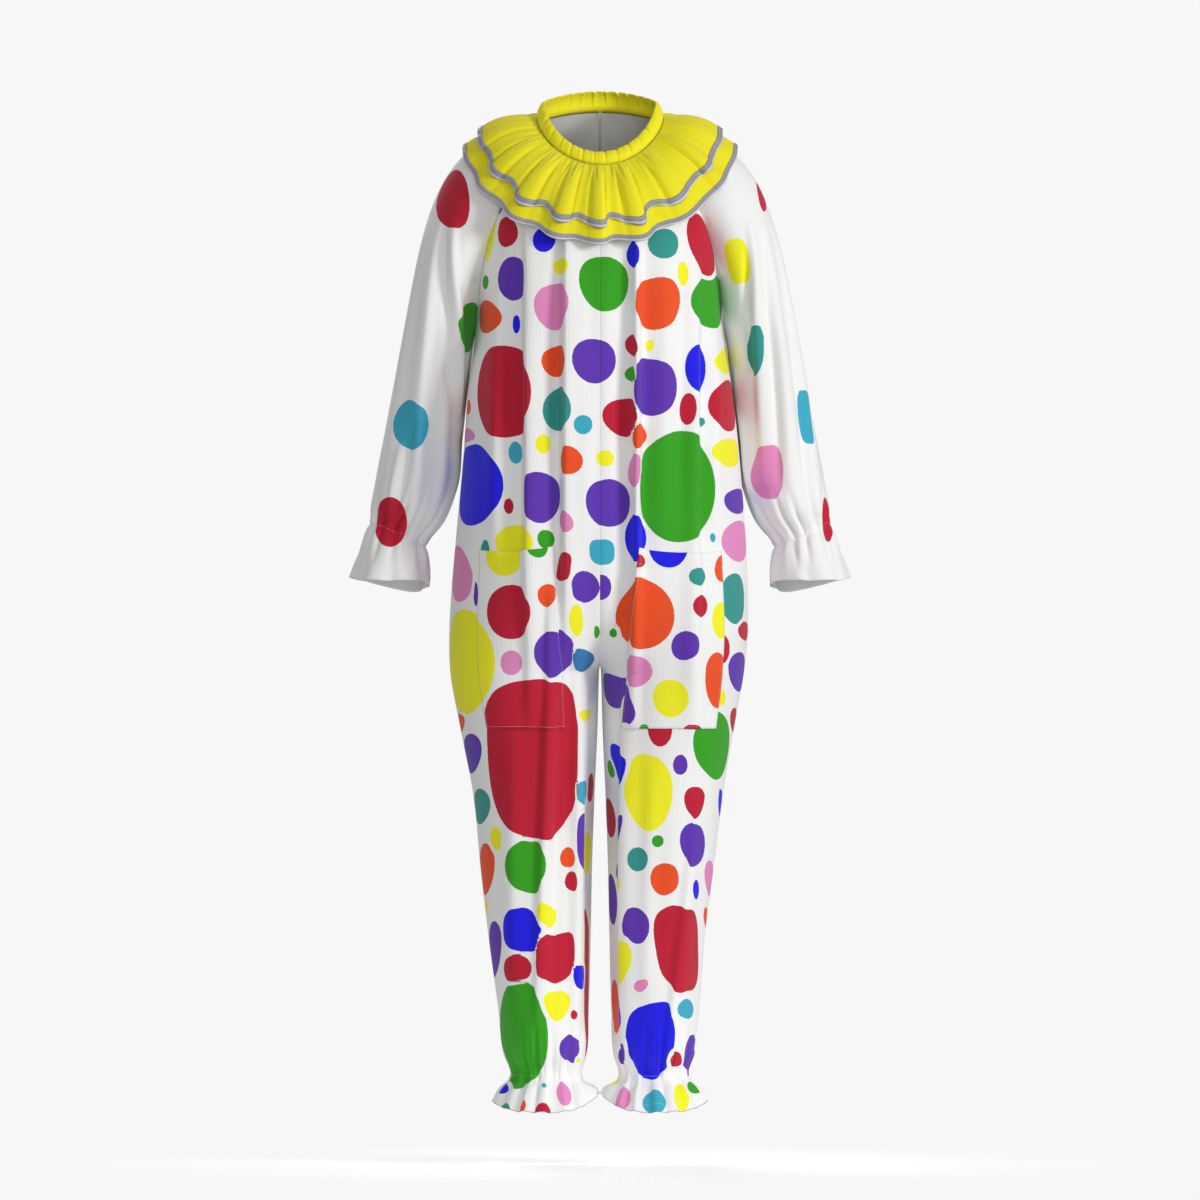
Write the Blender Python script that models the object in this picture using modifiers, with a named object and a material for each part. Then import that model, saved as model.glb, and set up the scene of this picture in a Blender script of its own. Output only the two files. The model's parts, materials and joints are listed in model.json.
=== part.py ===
"""Clown costume: a one-piece polka-dot jumpsuit with raglan sleeves, two patch pockets, and a two-tier
gathered ruffle collar under an elastic neckband, in the hollow form it has on a standing figure.

Metres, +Z up. The origin is the middle of the neck opening. The front faces -Y. "right" and "left" are the
wearer's, so the right side is at -X. Every piece is one layer of cloth: a grid of points on the piece's
middle surface, thickened by Solidify.
"""

import bpy
import numpy as np

# ---- driving dimensions -------------------------------------------------------------------------------
BODY_WALL = 0.0012  # jumpsuit cloth
RUFFLE_WALL = 0.0010  # collar tiers and pockets
BINDING_WALL = 0.0010
BAND_WALL = 0.0020  # two layers round the elastic
SEAM_GAP = 0.0003
SEAM_SLACK = 0.00015  # more on each side of a seam, because a thickened edge leans over its plane a little
NECK_INSET = 0.0030  # radians on the neck ring, from the raglan seam to each piece's edge
RAGLAN_SPREAD = 0.0012  # how much more the pieces part halfway down the raglan seam, where they bend

SIDES = {"right": -1, "left": 1}
FACES = {"front": -1, "back": 1}

ARMPIT_LEVEL = -0.285
RISE_LEVEL = -0.600  # where the centre seams begin to curve under the body
CROTCH_LEVEL = -0.775
HEM_LEVEL = -1.394
SLOPES = {"front": 54, "side": 7, "back": 42}  # degrees below level, of the cloth where it leaves the neck
UNDER_SLOPE = np.radians(3)  # by which the jumpsuit falls away from the collar there
RAGLAN_ANGLE = np.radians(55)  # on the neck ring, from the centre front and from the centre back

# Rings round the neck: name, half width, y of front and back, height at front, side and back.
RINGS = (
    ("band_top", 0.0780, -0.0700, 0.0700, -0.0480, 0.0250, 0.0420),
    ("neck_seam", 0.0875, -0.0800, 0.0790, -0.0650, 0.0020, 0.0230),
    ("upper_hem", 0.1728, -0.1465, 0.1400, -0.1500, -0.0135, -0.0510),
    ("lower_hem", 0.1935, -0.1530, 0.1480, -0.1760, -0.0360, -0.0880),
)
FALL_POWERS = {"front": 1.2, "back": 1.6}  # how sharply the rings and slopes turn down from the side

# Body sections below the armpit: outline to each side, gap from the middle plane to the leg, depths of the
# front and back, and squareness (2 is an ellipse).
BODY_COLUMNS = ("level", "right_x", "left_x", "leg_gap", "front_y", "back_y", "squareness")
BODY_ROWS = (
    (-0.285, 0.1720, 0.1720, 0.0000, 0.150, 0.145, 2.30),
    (-0.370, 0.1845, 0.1850, 0.0000, 0.155, 0.146, 2.35),
    (-0.480, 0.1925, 0.1965, 0.0000, 0.158, 0.150, 2.40),
    (-0.600, 0.2035, 0.2055, 0.0000, 0.160, 0.155, 2.40),
    (-0.670, 0.2095, 0.2080, 0.0000, 0.156, 0.156, 2.35),
    (-0.722, 0.2120, 0.2080, 0.0000, 0.148, 0.152, 2.30),
    (-0.775, 0.2110, 0.2030, 0.0018, 0.134, 0.142, 2.20),
    (-0.857, 0.1965, 0.1885, 0.0040, 0.118, 0.122, 2.15),
    (-0.950, 0.1785, 0.1730, 0.0080, 0.103, 0.106, 2.10),
    (-1.050, 0.1685, 0.1605, 0.0115, 0.093, 0.096, 2.10),
    (-1.150, 0.1570, 0.1475, 0.0135, 0.086, 0.090, 2.10),
    (-1.250, 0.1435, 0.1398, 0.0160, 0.080, 0.086, 2.10),
    (-1.315, 0.1350, 0.1320, 0.0195, 0.068, 0.076, 2.10),
    (-1.348, 0.1255, 0.1240, 0.0265, 0.048, 0.060, 2.05),
    (-1.370, 0.1400, 0.1390, 0.0150, 0.062, 0.072, 2.00),
    (-1.394, 0.1500, 0.1490, 0.0085, 0.074, 0.084, 2.00),
)

# Sleeve sections from the armpit to the cuff hem: where the section's inner and outer points are, its half
# depth and the y of its middle.
SLEEVE_COLUMNS = ("share", "inner_x", "inner_z", "outer_x", "outer_z", "half_depth", "middle_y")
SLEEVE_ROWS = (
    (1.00, 0.1755, -0.287, 0.2700, -0.272, 0.070, 0.000),
    (1.22, 0.1858, -0.372, 0.2885, -0.362, 0.074, 0.028),
    (1.43, 0.1945, -0.450, 0.3035, -0.440, 0.074, 0.038),
    (1.61, 0.2020, -0.520, 0.3160, -0.505, 0.068, 0.034),
    (1.72, 0.2220, -0.566, 0.3215, -0.544, 0.056, 0.024),
    (1.80, 0.2470, -0.598, 0.3225, -0.567, 0.038, 0.016),
    (1.85, 0.2440, -0.616, 0.3300, -0.585, 0.044, 0.014),
    (1.91, 0.2410, -0.640, 0.3400, -0.612, 0.052, 0.012),
    (2.00, 0.2450, -0.672, 0.3520, -0.646, 0.060, 0.010),
)

# Main folds of the body: piece, x at its top and bottom, width, height (of a valley it is negative), and the
# levels between which it runs down the cloth.
FOLDS = (
    ("front_right", 0.044, 0.046, 0.016, 0.0080, -0.10, -0.74),
    ("front_right", 0.072, 0.066, 0.012, -0.0060, -0.14, -0.66),
    ("front_right", 0.104, 0.100, 0.015, 0.0080, -0.12, -0.86),
    ("front_right", 0.138, 0.146, 0.014, 0.0065, -0.20, -0.62),
    ("front_right", 0.036, 0.038, 0.013, 0.0080, -0.74, -1.30),
    ("front_left", 0.028, 0.030, 0.012, -0.0065, -0.12, -0.80),
    ("front_left", 0.052, 0.050, 0.014, 0.0100, -0.10, -0.84),
    ("front_left", 0.094, 0.090, 0.018, 0.0055, -0.14, -0.60),
    ("front_left", 0.134, 0.130, 0.014, 0.0065, -0.20, -0.88),
    ("front_left", 0.038, 0.034, 0.014, 0.0080, -0.80, -1.30),
    ("back_right", 0.050, 0.060, 0.020, 0.0090, -0.10, -0.80),
    ("back_right", 0.115, 0.125, 0.020, 0.0080, -0.14, -0.74),
    ("back_right", 0.090, 0.080, 0.018, 0.0070, -0.80, -1.30),
    ("back_left", 0.042, 0.048, 0.020, 0.0080, -0.10, -0.78),
    ("back_left", 0.108, 0.112, 0.020, 0.0090, -0.12, -0.82),
    ("back_left", 0.070, 0.078, 0.018, 0.0070, -0.84, -1.30),
)

# Sleeve folds fan from the shoulder: place round the sleeve at top and bottom (0 front seam, 0.5 outside,
# 1 back seam), width, height, and the rows between which each one runs.
SLEEVE_FOLDS = (
    (0.30, 0.22, 0.055, 0.0060, 0.62, 1.72),
    (0.42, 0.36, 0.045, 0.0050, 0.66, 1.74),
    (0.58, 0.62, 0.050, 0.0055, 0.60, 1.70),
    (0.72, 0.78, 0.055, 0.0060, 0.64, 1.72),
)

NECK_GATHERS_PER_PIECE = {"body": 5, "sleeve": 6}
ANKLE_GATHERS = 8  # on each panel, so 16 round a leg
WRIST_GATHERS = 10
BAND_GATHERS = 30
RUFFLE_WAVES = 18
NECK_GATHER = 0.0008  # half height of the gathers under the collar
ANKLE_GATHER = (0.0030, 0.0020)  # half heights above the elastic and, on top of that, in the flounce
WRIST_GATHER = (0.0030, 0.0015)
BAND_PUCKER = (0.0011, 0.0012)  # of the casing: out of its cloth, and up and down along its top
BAND_BULGE = 0.0030
BINDING_WIDTH = 0.008
FLOUNCE_DIP = 0.006  # by which the ankle flounce hangs lower at the front than at the side

# Tiers of the collar: name, how far its seam lies under the neckband's, rounding over the shoulder, and the
# half height of its waves at the hem.
TIERS = (("upper", 0.0, 0.0120, 0.0052), ("lower", 0.0016, 0.0088, 0.0050))
TIER_ROWS = (0.0, 0.35, 0.72)  # from the seam, before the binding's edge and the hem

# Grid rows: 0 is the neck seam, 1 the armpit and 2 the hem.
YOKE_ROWS = (0.0, 0.12, 0.30, 0.52, 0.76, 1.0)
BODY_LEVELS = (
    -0.370, -0.480, -0.600, -0.670, -0.722, -0.752, -0.768, -0.775,
    -0.815, -0.857, -0.950, -1.050, -1.150, -1.250, -1.315, -1.348, -1.370, -1.394,
)
SLEEVE_SHARES = (1.22, 1.43, 1.61, 1.72, 1.80, 1.85, 1.91, 2.00)
COLUMNS = {"front": 24, "back": 16, "sleeve": 30}
RUFFLE_COLUMNS = 4 * RUFFLE_WAVES

POCKET_LEVELS = (-0.600, -0.857)
POCKET_COLUMNS = {"right": (8, 17), "left": (7, 18)}  # of the front panels' 24


# ---- small tools --------------------------------------------------------------------------------------
def column(rows, columns, name):
    """One named column of a table, as an array."""
    return np.array([row[columns.index(name)] for row in rows])


def smooth(place, places, values):
    """The cubic through a table's rows, with the slope of their neighbours at each; places increase."""
    slopes = np.gradient(values, places)
    at = np.clip(np.searchsorted(places, place, side="right") - 1, 0, len(places) - 2)
    span = places[at + 1] - places[at]
    t = np.clip((place - places[at]) / span, 0, 1)
    rise = values[at + 1] - values[at]
    bend = (1 - t) * (slopes[at] * span - rise) - t * (slopes[at + 1] * span - rise)
    return values[at] + t * rise + t * (1 - t) * bend


def ease(x, start, end):
    """0 before start, 1 after end, and a smooth step between."""
    t = np.clip((x - start) / (end - start), 0, 1)
    return t * t * (3 - 2 * t)


def unit(vectors):
    return vectors / np.linalg.norm(vectors, axis=-1, keepdims=True)


def stack(x, y, z):
    return np.stack(np.broadcast_arrays(x, y, z), axis=-1).astype(float)


def normals(points, closed=False):
    """Unit normals of a grid, from the differences along its rows and columns. They point out of a piece
    whose columns run from the centre front or the front seam to the wearer's left."""
    wide = np.concatenate([points[:, -1:], points, points[:, :1]], axis=1) if closed else points
    across = np.gradient(wide, axis=1)
    down = np.gradient(wide, axis=0)
    out = unit(np.cross(down, across))
    return out[:, 1:-1] if closed else out


def turn_down(angle, front, side, back):
    """A value round the neck: side + (end - side) |cos t|^p, with its own end and p for front and back."""
    forward = np.cos(angle) > 0
    end = np.where(forward, front, back)
    power = np.where(forward, FALL_POWERS["front"], FALL_POWERS["back"])
    return side + (end - side) * np.abs(np.cos(angle)) ** power


def ring(name, angle):
    """A ring round the neck; angle 0 is the centre front and +90 degrees the wearer's left."""
    row = RINGS[[line[0] for line in RINGS].index(name)]
    _, half_width, front_y, back_y, front_z, side_z, back_z = row
    y = (front_y + back_y) / 2 - (back_y - front_y) / 2 * np.cos(angle)
    return stack(half_width * np.sin(angle), y, turn_down(angle, front_z, side_z, back_z))


def neck_frame(angle):
    """At the neck seam: the direction that the cloth leaves it in, and the normal out of the cloth."""
    slope = np.radians(turn_down(angle, SLOPES["front"], SLOPES["side"], SLOPES["back"]))
    away = stack(np.sin(angle), -np.cos(angle), 0)
    up = np.array([0.0, 0.0, 1.0])
    slope = slope[..., None]
    return away * np.cos(slope) - up * np.sin(slope), away * np.sin(slope) + up * np.cos(slope)


def body_neck(angle):
    """The jumpsuit's top edge, under the seams of the two tiers, and the steeper way that it leaves in."""
    along, out = neck_frame(angle)
    depth = RUFFLE_WALL * 1.5 + BODY_WALL / 2 + 5 * SEAM_GAP
    return ring("neck_seam", angle) + along * SEAM_GAP - out * depth, unit(along - out * np.tan(UNDER_SLOPE))


def yoke_reach(angle):
    """How far the cloth keeps its way at the neck: over the shoulders further than down the chest."""
    return 0.090 + 0.055 * np.sin(angle) ** 4


def drape(start, start_way, start_reach, end, end_way, end_reach, t):
    """A cubic Bezier from the neck to the armpit level, leaving and arriving along given directions."""
    t = t[..., None]
    handle_a = start + start_way * start_reach[..., None]
    handle_b = end - end_way * end_reach[..., None]
    return (
        (1 - t) ** 3 * start
        + 3 * (1 - t) ** 2 * t * handle_a
        + 3 * (1 - t) * t**2 * handle_b
        + t**3 * end
    )


# ---- the jumpsuit's surfaces --------------------------------------------------------------------------
def body_section(side, face, u, level):
    """Points of a body panel at heights below the armpit. u is 0 at the centre seam or inseam and 1 at the
    side. The section is |x/a|^n + |y/b|^n = 1 about a middle that moves out from the body's to the leg's as
    the centre seam curves under, and x runs from the inner edge to the outline as sin^2(pi u/2)."""

    def at(name):
        return smooth(-level, -column(BODY_ROWS, BODY_COLUMNS, "level"), column(BODY_ROWS, BODY_COLUMNS, name))

    outline = at("left_x" if side > 0 else "right_x")
    gap = at("leg_gap") * (level < CROTCH_LEVEL + 0.0001)
    depth = at("front_y" if face < 0 else "back_y")
    n = at("squareness")
    fallen = np.clip((RISE_LEVEL - level) / (RISE_LEVEL - CROTCH_LEVEL), 0, 1) ** 1.5
    leg = 2 * fallen / (1 + fallen)
    middle = leg * (outline + gap) / 2
    half = outline - middle
    share = np.sin(np.pi * u / 2) ** 2 + (1 - leg) * 0.45 * u * (1 - u) ** 4
    x = gap + (outline - gap) * share
    reach = np.clip(np.abs((x - middle) / half), 0, 1)
    y = depth * np.maximum(1 - reach**n, 0) ** (1 / n)
    dip = FLOUNCE_DIP * ease(-level, 1.35, 1.394) * (y / depth) * (face < 0)
    return stack(side * x, face * y, level - dip)


def seam_way(side, face, u):
    """The direction in which the yoke's lines reach the armpit level: straight down at the centre, and from
    the front (or back) towards the armpit at the raglan seam."""
    return unit(stack(side * 0.05 * u, -face * 0.50 * u**3, -0.86 + 0 * u))


def body_panel(side, face, u, row):
    """The middle surface of a body panel, without folds. row is 0 to 1 from the neck to the armpit and 1 to
    2 from there to the hem."""
    u, row = np.broadcast_arrays(u, row)
    angle = u * (RAGLAN_ANGLE - NECK_INSET)
    start, along = body_neck(side * (angle if face < 0 else np.pi - angle))
    lower = body_section(side, face, u, np.full(u.shape, ARMPIT_LEVEL))
    yoke = drape(
        start, along, yoke_reach(angle),
        lower, seam_way(side, face, u), np.full(u.shape, 0.095), np.clip(row, 0, 1),
    )
    level = ARMPIT_LEVEL + (np.maximum(row, 1) - 1) * (HEM_LEVEL - ARMPIT_LEVEL)
    return np.where((row < 1)[..., None], yoke, body_section(side, face, u, level))


def sleeve_section(side, turn, share):
    """Points round the sleeve below the armpit: an ellipse about the arm's line, tilted square to it. turn
    is 0 at the underarm seam, 0.25 at the front, 0.5 outside and 1 at the seam again."""

    def at(name):
        shares = column(SLEEVE_ROWS, SLEEVE_COLUMNS, "share")
        return smooth(share, shares, column(SLEEVE_ROWS, SLEEVE_COLUMNS, name))

    psi = np.pi * (2 * turn - 1)
    outward = (1 + np.cos(psi)) / 2
    x = at("inner_x") + (at("outer_x") - at("inner_x")) * outward
    z = at("inner_z") + (at("outer_z") - at("inner_z")) * outward
    return stack(side * x, at("middle_y") + at("half_depth") * np.sin(psi), z)


def sleeve_panel(side, turn, row):
    """The middle surface of a sleeve, without folds, on the same rows as the body's yoke down to 1."""
    turn, row = np.broadcast_arrays(turn, row)
    first = RAGLAN_ANGLE + NECK_INSET
    angle = side * (first + turn * (np.pi - 2 * first))
    start, along = body_neck(angle)
    lower = sleeve_section(side, turn, np.ones(turn.shape))
    at_seam = (np.cos(np.pi * turn) ** 2) ** 1.5
    face = np.where(turn < 0.5, -1, 1)
    way = unit(
        stack(side * 0.17 * (1 - at_seam), 0, -0.98 * (1 - at_seam))
        + at_seam[..., None] * seam_way(side, face, np.ones(turn.shape))
    )
    yoke = drape(
        start, along, yoke_reach(angle),
        lower, way, 0.095 + 0.050 * np.sin(np.pi * turn) ** 2, np.clip(row, 0, 1),
    )
    points = np.where((row < 1)[..., None], yoke, sleeve_section(side, turn, np.maximum(row, 1)))
    points[..., 0] += side * RAGLAN_SPREAD * at_seam * np.sin(np.pi * np.clip(row, 0, 1))
    return points


# ---- folds and gathers --------------------------------------------------------------------------------
def body_folds(piece, side, u, row, points):
    """Height of the body's folds and gathers over the plain surface."""
    x, z = side * points[..., 0], points[..., 2]
    height = np.zeros(x.shape)
    outline = x[:, -1:]
    for name, top_x, bottom_x, width, ridge, top_z, bottom_z in FOLDS:
        if name != piece:
            continue
        down = np.clip((top_z - z) / (top_z - bottom_z), 0, 1)
        place = top_x + (bottom_x - top_x) * down
        length = np.sin(np.pi * down) ** 0.6 * (down > 0) * (down < 1)
        height += ridge * np.exp(-(((x - place) / width) ** 2)) * length
    height *= 1 - (np.clip(x / outline, 0, 1)) ** 8
    height *= ease(u, 0, 0.10)
    neck = NECK_GATHER * ease(row, 0, 0.12) * (1 - ease(row, 0.2, 0.6))
    height += neck * np.cos(2 * np.pi * NECK_GATHERS_PER_PIECE["body"] * u)
    ankle = ANKLE_GATHER[0] * ease(-z, 1.27, 1.345) + ANKLE_GATHER[1] * ease(-z, 1.35, 1.39)
    height += ankle * np.cos(2 * np.pi * ANKLE_GATHERS * u)
    return height


def sleeve_folds(turn, row):
    """Height of a sleeve's folds and gathers over its plain surface."""
    height = np.zeros(np.broadcast(turn, row).shape)
    for top_turn, bottom_turn, width, ridge, top, bottom in SLEEVE_FOLDS:
        down = np.clip((row - top) / (bottom - top), 0, 1)
        place = top_turn + (bottom_turn - top_turn) * down
        height += ridge * np.exp(-(((turn - place) / width) ** 2)) * np.sin(np.pi * down) ** 0.6
    neck = NECK_GATHER * ease(row, 0, 0.12) * (1 - ease(row, 0.2, 0.6))
    height += neck * np.cos(2 * np.pi * NECK_GATHERS_PER_PIECE["sleeve"] * turn)
    wrist = WRIST_GATHER[0] * ease(row, 1.68, 1.79) + WRIST_GATHER[1] * ease(row, 1.81, 1.95)
    return height + wrist * np.cos(2 * np.pi * WRIST_GATHERS * turn)


def part_from_plane(points, out, edge, axis, rows, wall):
    """Moves an edge column clear of the seam's plane, so that the wall on this side of it, as thick as its
    slant there needs, ends half a gap away from it."""
    place = points[rows, edge, axis]
    clear = SEAM_GAP / 2 + wall / 2 * np.abs(out[rows, edge, axis]) + SEAM_SLACK
    side = np.sign(points[rows, edge + (1 if edge == 0 else -1), axis])
    points[rows, edge, axis] = side * np.maximum(np.abs(place), clear)


def body_points(side_name, face_name):
    """Points of a body panel with its folds and its edges at the seams, and the normals out of it."""
    side, face = SIDES[side_name], FACES[face_name]
    levels = np.array(BODY_LEVELS)
    rows = np.array(YOKE_ROWS + tuple(1 + (ARMPIT_LEVEL - levels) / (ARMPIT_LEVEL - HEM_LEVEL)))[:, None]
    u = np.linspace(0, 1, COLUMNS[face_name] + 1)[None, :]
    points = body_panel(side, face, u, rows)
    out = normals(points) * -side * face
    points += out * body_folds(f"{face_name}_{side_name}", side, u, rows, points)[..., None]
    out = normals(points) * -side * face
    upper = points[:, -1, 2] > CROTCH_LEVEL + 0.001
    part_from_plane(points, out, 0, 0, upper, BODY_WALL)
    part_from_plane(points, out, 0, 1, ~upper, BODY_WALL)
    part_from_plane(points, out, u.size - 1, 1, points[:, -1, 2] < ARMPIT_LEVEL + 0.001, BODY_WALL)
    return points, out


def sleeve_points(side_name):
    """Points of a sleeve with its folds and its edges at the underarm seam, and the normals out of it."""
    side = SIDES[side_name]
    rows = np.array(YOKE_ROWS + SLEEVE_SHARES)[:, None]
    turn = np.linspace(0, 1, COLUMNS["sleeve"] + 1)[None, :]
    points = sleeve_panel(side, turn, rows)
    out = normals(points) * side
    points += out * sleeve_folds(turn, rows)[..., None]
    out = normals(points) * side
    middle = smooth(rows[:, 0], column(SLEEVE_ROWS, SLEEVE_COLUMNS, "share"),
                    column(SLEEVE_ROWS, SLEEVE_COLUMNS, "middle_y"))
    points[..., 1] -= middle[:, None]
    closed = rows[:, 0] >= 1
    part_from_plane(points, out, 0, 1, closed, BODY_WALL)
    part_from_plane(points, out, turn.size - 1, 1, closed, BODY_WALL)
    points[..., 1] += middle[:, None]
    return points, out


# ---- the collar ---------------------------------------------------------------------------------------
def tier_points(hem_name, sunk, bulge, wave):
    """A ruffle tier from the neck seam to its hem, as a closed band of columns, with the numbers of a row of
    TIERS. Its waves grow from nothing at the seam."""
    angle = np.linspace(0, 2 * np.pi, RUFFLE_COLUMNS, endpoint=False)[None, :]
    along, out = neck_frame(angle)
    seam = ring("neck_seam", angle) + along * SEAM_GAP - out * sunk
    hem = ring(hem_name, angle)
    depth = np.linalg.norm(hem - seam, axis=-1).mean()
    t = np.array((*TIER_ROWS, 1 - BINDING_WIDTH / depth, 1.0))[:, None, None]
    flat = seam + (hem - seam) * t
    points = flat + 4 * bulge * t * (1 - t) * normals(flat, closed=True)
    phase = RUFFLE_WAVES * angle + 0.6 * np.sin(3 * angle + 1) + 0.4 * np.sin(5 * angle)
    points = points + normals(points, closed=True) * wave * (t**1.3) * np.cos(phase)[..., None]
    return points, normals(points, closed=True)


def band_points():
    """The elastic casing: from just above the neck seam to its scalloped top, rounded outward."""
    angle = np.linspace(0, 2 * np.pi, 2 * BAND_GATHERS, endpoint=False)[None, :]
    top, seam = ring("band_top", angle), ring("neck_seam", angle)
    t = np.array((0.0, 0.5, 0.95))[:, None, None]
    flat = top + (seam - top) * t
    out = normals(flat, closed=True)
    pucker, scallop = BAND_PUCKER
    gather = pucker * np.cos(BAND_GATHERS * angle)[..., None] * (1 - t**4)
    points = flat + out * (BAND_BULGE * 4 * t * (1 - t) + gather)
    points[0, :, 2] += scallop * np.cos(BAND_GATHERS * angle[0])
    return points


# ---- objects ------------------------------------------------------------------------------------------
def material(name, color, roughness):
    made = bpy.data.materials.new(name)
    made.use_nodes = True
    shader = made.node_tree.nodes["Principled BSDF"]
    shader.inputs["Base Color"].default_value = (*color, 1)
    shader.inputs["Roughness"].default_value = roughness
    shader.inputs["Metallic"].default_value = 0
    return made


def cloth(name, points, wall, look, collection, closed=False):
    """A grid of points as one layer of cloth, wall thick about its middle surface."""
    rows, columns = points.shape[:2]
    index = np.arange(rows * columns).reshape(rows, columns)
    if closed:
        index = np.concatenate([index, index[:, :1]], axis=1)
    corners = (index[:-1, :-1], index[1:, :-1], index[1:, 1:], index[:-1, 1:])
    faces = np.stack(corners, axis=-1).reshape(-1, 4)
    mesh = bpy.data.meshes.new(name)
    mesh.from_pydata(points.reshape(-1, 3).tolist(), [], faces.tolist())
    mesh.materials.append(look)
    mesh.shade_smooth()
    piece = bpy.data.objects.new(name, mesh)
    collection.objects.link(piece)
    layer = piece.modifiers.new("Cloth thickness", "SOLIDIFY")
    layer.thickness = wall
    layer.offset = 0
    return piece


def build():
    for left_over in list(bpy.data.objects):
        bpy.data.objects.remove(left_over)
    collection = bpy.data.collections.new("clown_costume")
    bpy.context.scene.collection.children.link(collection)

    dotted = material("Dotted jumpsuit knit", (0.92, 0.92, 0.91), 0.75)
    white = material("White sleeve knit", (0.94, 0.94, 0.93), 0.75)
    yellow = material("Yellow collar cloth", (0.92, 0.84, 0.02), 0.65)
    grey = material("Grey collar binding", (0.33, 0.32, 0.39), 0.50)

    top = BODY_LEVELS.index(POCKET_LEVELS[0]) + len(YOKE_ROWS)
    bottom = BODY_LEVELS.index(POCKET_LEVELS[1]) + len(YOKE_ROWS)
    for side_name in SIDES:
        first, last = POCKET_COLUMNS[side_name]
        for face_name in FACES:
            points, out = body_points(side_name, face_name)
            cloth(f"{face_name}_{side_name}", points, BODY_WALL, dotted, collection)
            if face_name == "front":
                off = (BODY_WALL + RUFFLE_WALL) / 2 + SEAM_GAP + SEAM_SLACK
                lifted = (points + out * off)[top : bottom + 1, first : last + 1]
                cloth(f"pocket_{side_name}", lifted, RUFFLE_WALL, dotted, collection)
        cloth(f"sleeve_{side_name}", sleeve_points(side_name)[0], BODY_WALL, white, collection)

    cloth("neckband", band_points(), BAND_WALL, yellow, collection, closed=True)
    for tier, sunk, bulge, wave in TIERS:
        points, out = tier_points(f"{tier}_hem", sunk, bulge, wave)
        cloth(f"collar_{tier}", points, RUFFLE_WALL, yellow, collection, closed=True)
        edge = (points + out * ((RUFFLE_WALL + BINDING_WALL) / 2 + SEAM_GAP))[-2:]
        cloth(f"collar_{tier}_binding", edge, BINDING_WALL, grey, collection, closed=True)


build()
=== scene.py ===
# %% [markdown]
# # Clown costume
#
# A one-piece jumpsuit of white jersey with a printed polka dot, raglan sleeves, two patch pockets and
# elastic at the wrists and ankles, under a two-tier ruffle collar of yellow cloth that is bound in grey.
# It keeps the hollow form that it has when somebody stands in it.
#
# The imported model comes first. Its solids give each piece its place and size, and every piece made below
# takes the place of one of them. Blender works in metres here: +Z is up, the front faces -Y, and "right"
# and "left" are the wearer's. The origin is the middle of the neck opening.

import json

import bpy
import numpy as np
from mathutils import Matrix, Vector

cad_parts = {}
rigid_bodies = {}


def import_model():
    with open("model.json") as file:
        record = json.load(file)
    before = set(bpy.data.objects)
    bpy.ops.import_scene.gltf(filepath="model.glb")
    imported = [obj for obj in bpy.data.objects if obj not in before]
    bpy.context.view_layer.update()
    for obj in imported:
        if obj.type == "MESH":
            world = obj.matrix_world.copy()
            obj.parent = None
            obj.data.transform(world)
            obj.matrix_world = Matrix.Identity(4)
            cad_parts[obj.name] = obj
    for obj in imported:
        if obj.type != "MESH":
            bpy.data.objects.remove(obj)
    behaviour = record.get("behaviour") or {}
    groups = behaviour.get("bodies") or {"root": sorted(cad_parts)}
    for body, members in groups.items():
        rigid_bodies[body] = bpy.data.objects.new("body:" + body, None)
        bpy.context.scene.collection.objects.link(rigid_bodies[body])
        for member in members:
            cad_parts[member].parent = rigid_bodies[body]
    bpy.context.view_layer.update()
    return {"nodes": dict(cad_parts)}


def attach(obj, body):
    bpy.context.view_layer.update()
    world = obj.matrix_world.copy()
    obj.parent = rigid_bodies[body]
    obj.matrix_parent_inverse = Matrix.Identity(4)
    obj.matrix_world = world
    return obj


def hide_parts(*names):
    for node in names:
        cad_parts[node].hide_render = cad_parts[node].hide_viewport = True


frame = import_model()
print("nodes:", ", ".join(sorted(frame["nodes"])))

# %% [markdown]
# ## The cloths' sizes
#
# These are the maker's numbers: how thick each cloth is, where the seams and hems lie, and a short table of
# sections through the body and the sleeve. A costume could be draped by simulation from flat panels, but
# then its outline would be whatever the simulation gave. Sections fix the outline, and folds are added on
# them, one by one.

# %% Sizes of the jumpsuit
BODY_WALL = 0.0012
RUFFLE_WALL = 0.0010
TAPE_WALL = 0.0006
SEAM_GAP = 0.0003
NECK_INSET = 0.0030
RAGLAN_SPREAD = 0.0012

SIDES = {"right": -1, "left": 1}
FACES = {"front": -1, "back": 1}

ARMPIT_LEVEL = -0.285
RISE_LEVEL = -0.600
CROTCH_LEVEL = -0.775
PARTING = 0.0001
SHIN_LEVEL = -1.25
ANKLE_LEVEL = -1.348
HEM_LEVEL = -1.394
LEVEL_SLACK = 0.001

# The cloth's fall at the neck, in degrees, at the front, the side and the back, and how it turns there.
SLOPES = (54, 7, 42)
FALL_POWERS = (1.2, 1.6)
UNDER_SLOPE = np.radians(3)
RAGLAN_ANGLE = np.radians(55)
# How far the cloth keeps its way at the neck and at the armpits, and how much further over the shoulders.
NECK_REACH, NECK_REACH_OVER = 0.090, 0.055
ARMPIT_REACH, ARMPIT_REACH_OVER = 0.095, 0.050

# The ankle hems: where they begin to flare, how far the front dips, how far the inner and the outer corners
# rise, and how far the inner corners lie nearer to the other leg.
HEM_FLARE = (1.35, 1.394)
HEM_DIP = 0.003
CORNER_RISES = (0.022, 0.010)
CORNER_SHIFT = 0.0068


def table(columns, *rows):
    """A table's columns by name, as arrays."""
    return dict(zip(columns.split(), np.array(rows).T))


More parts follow.
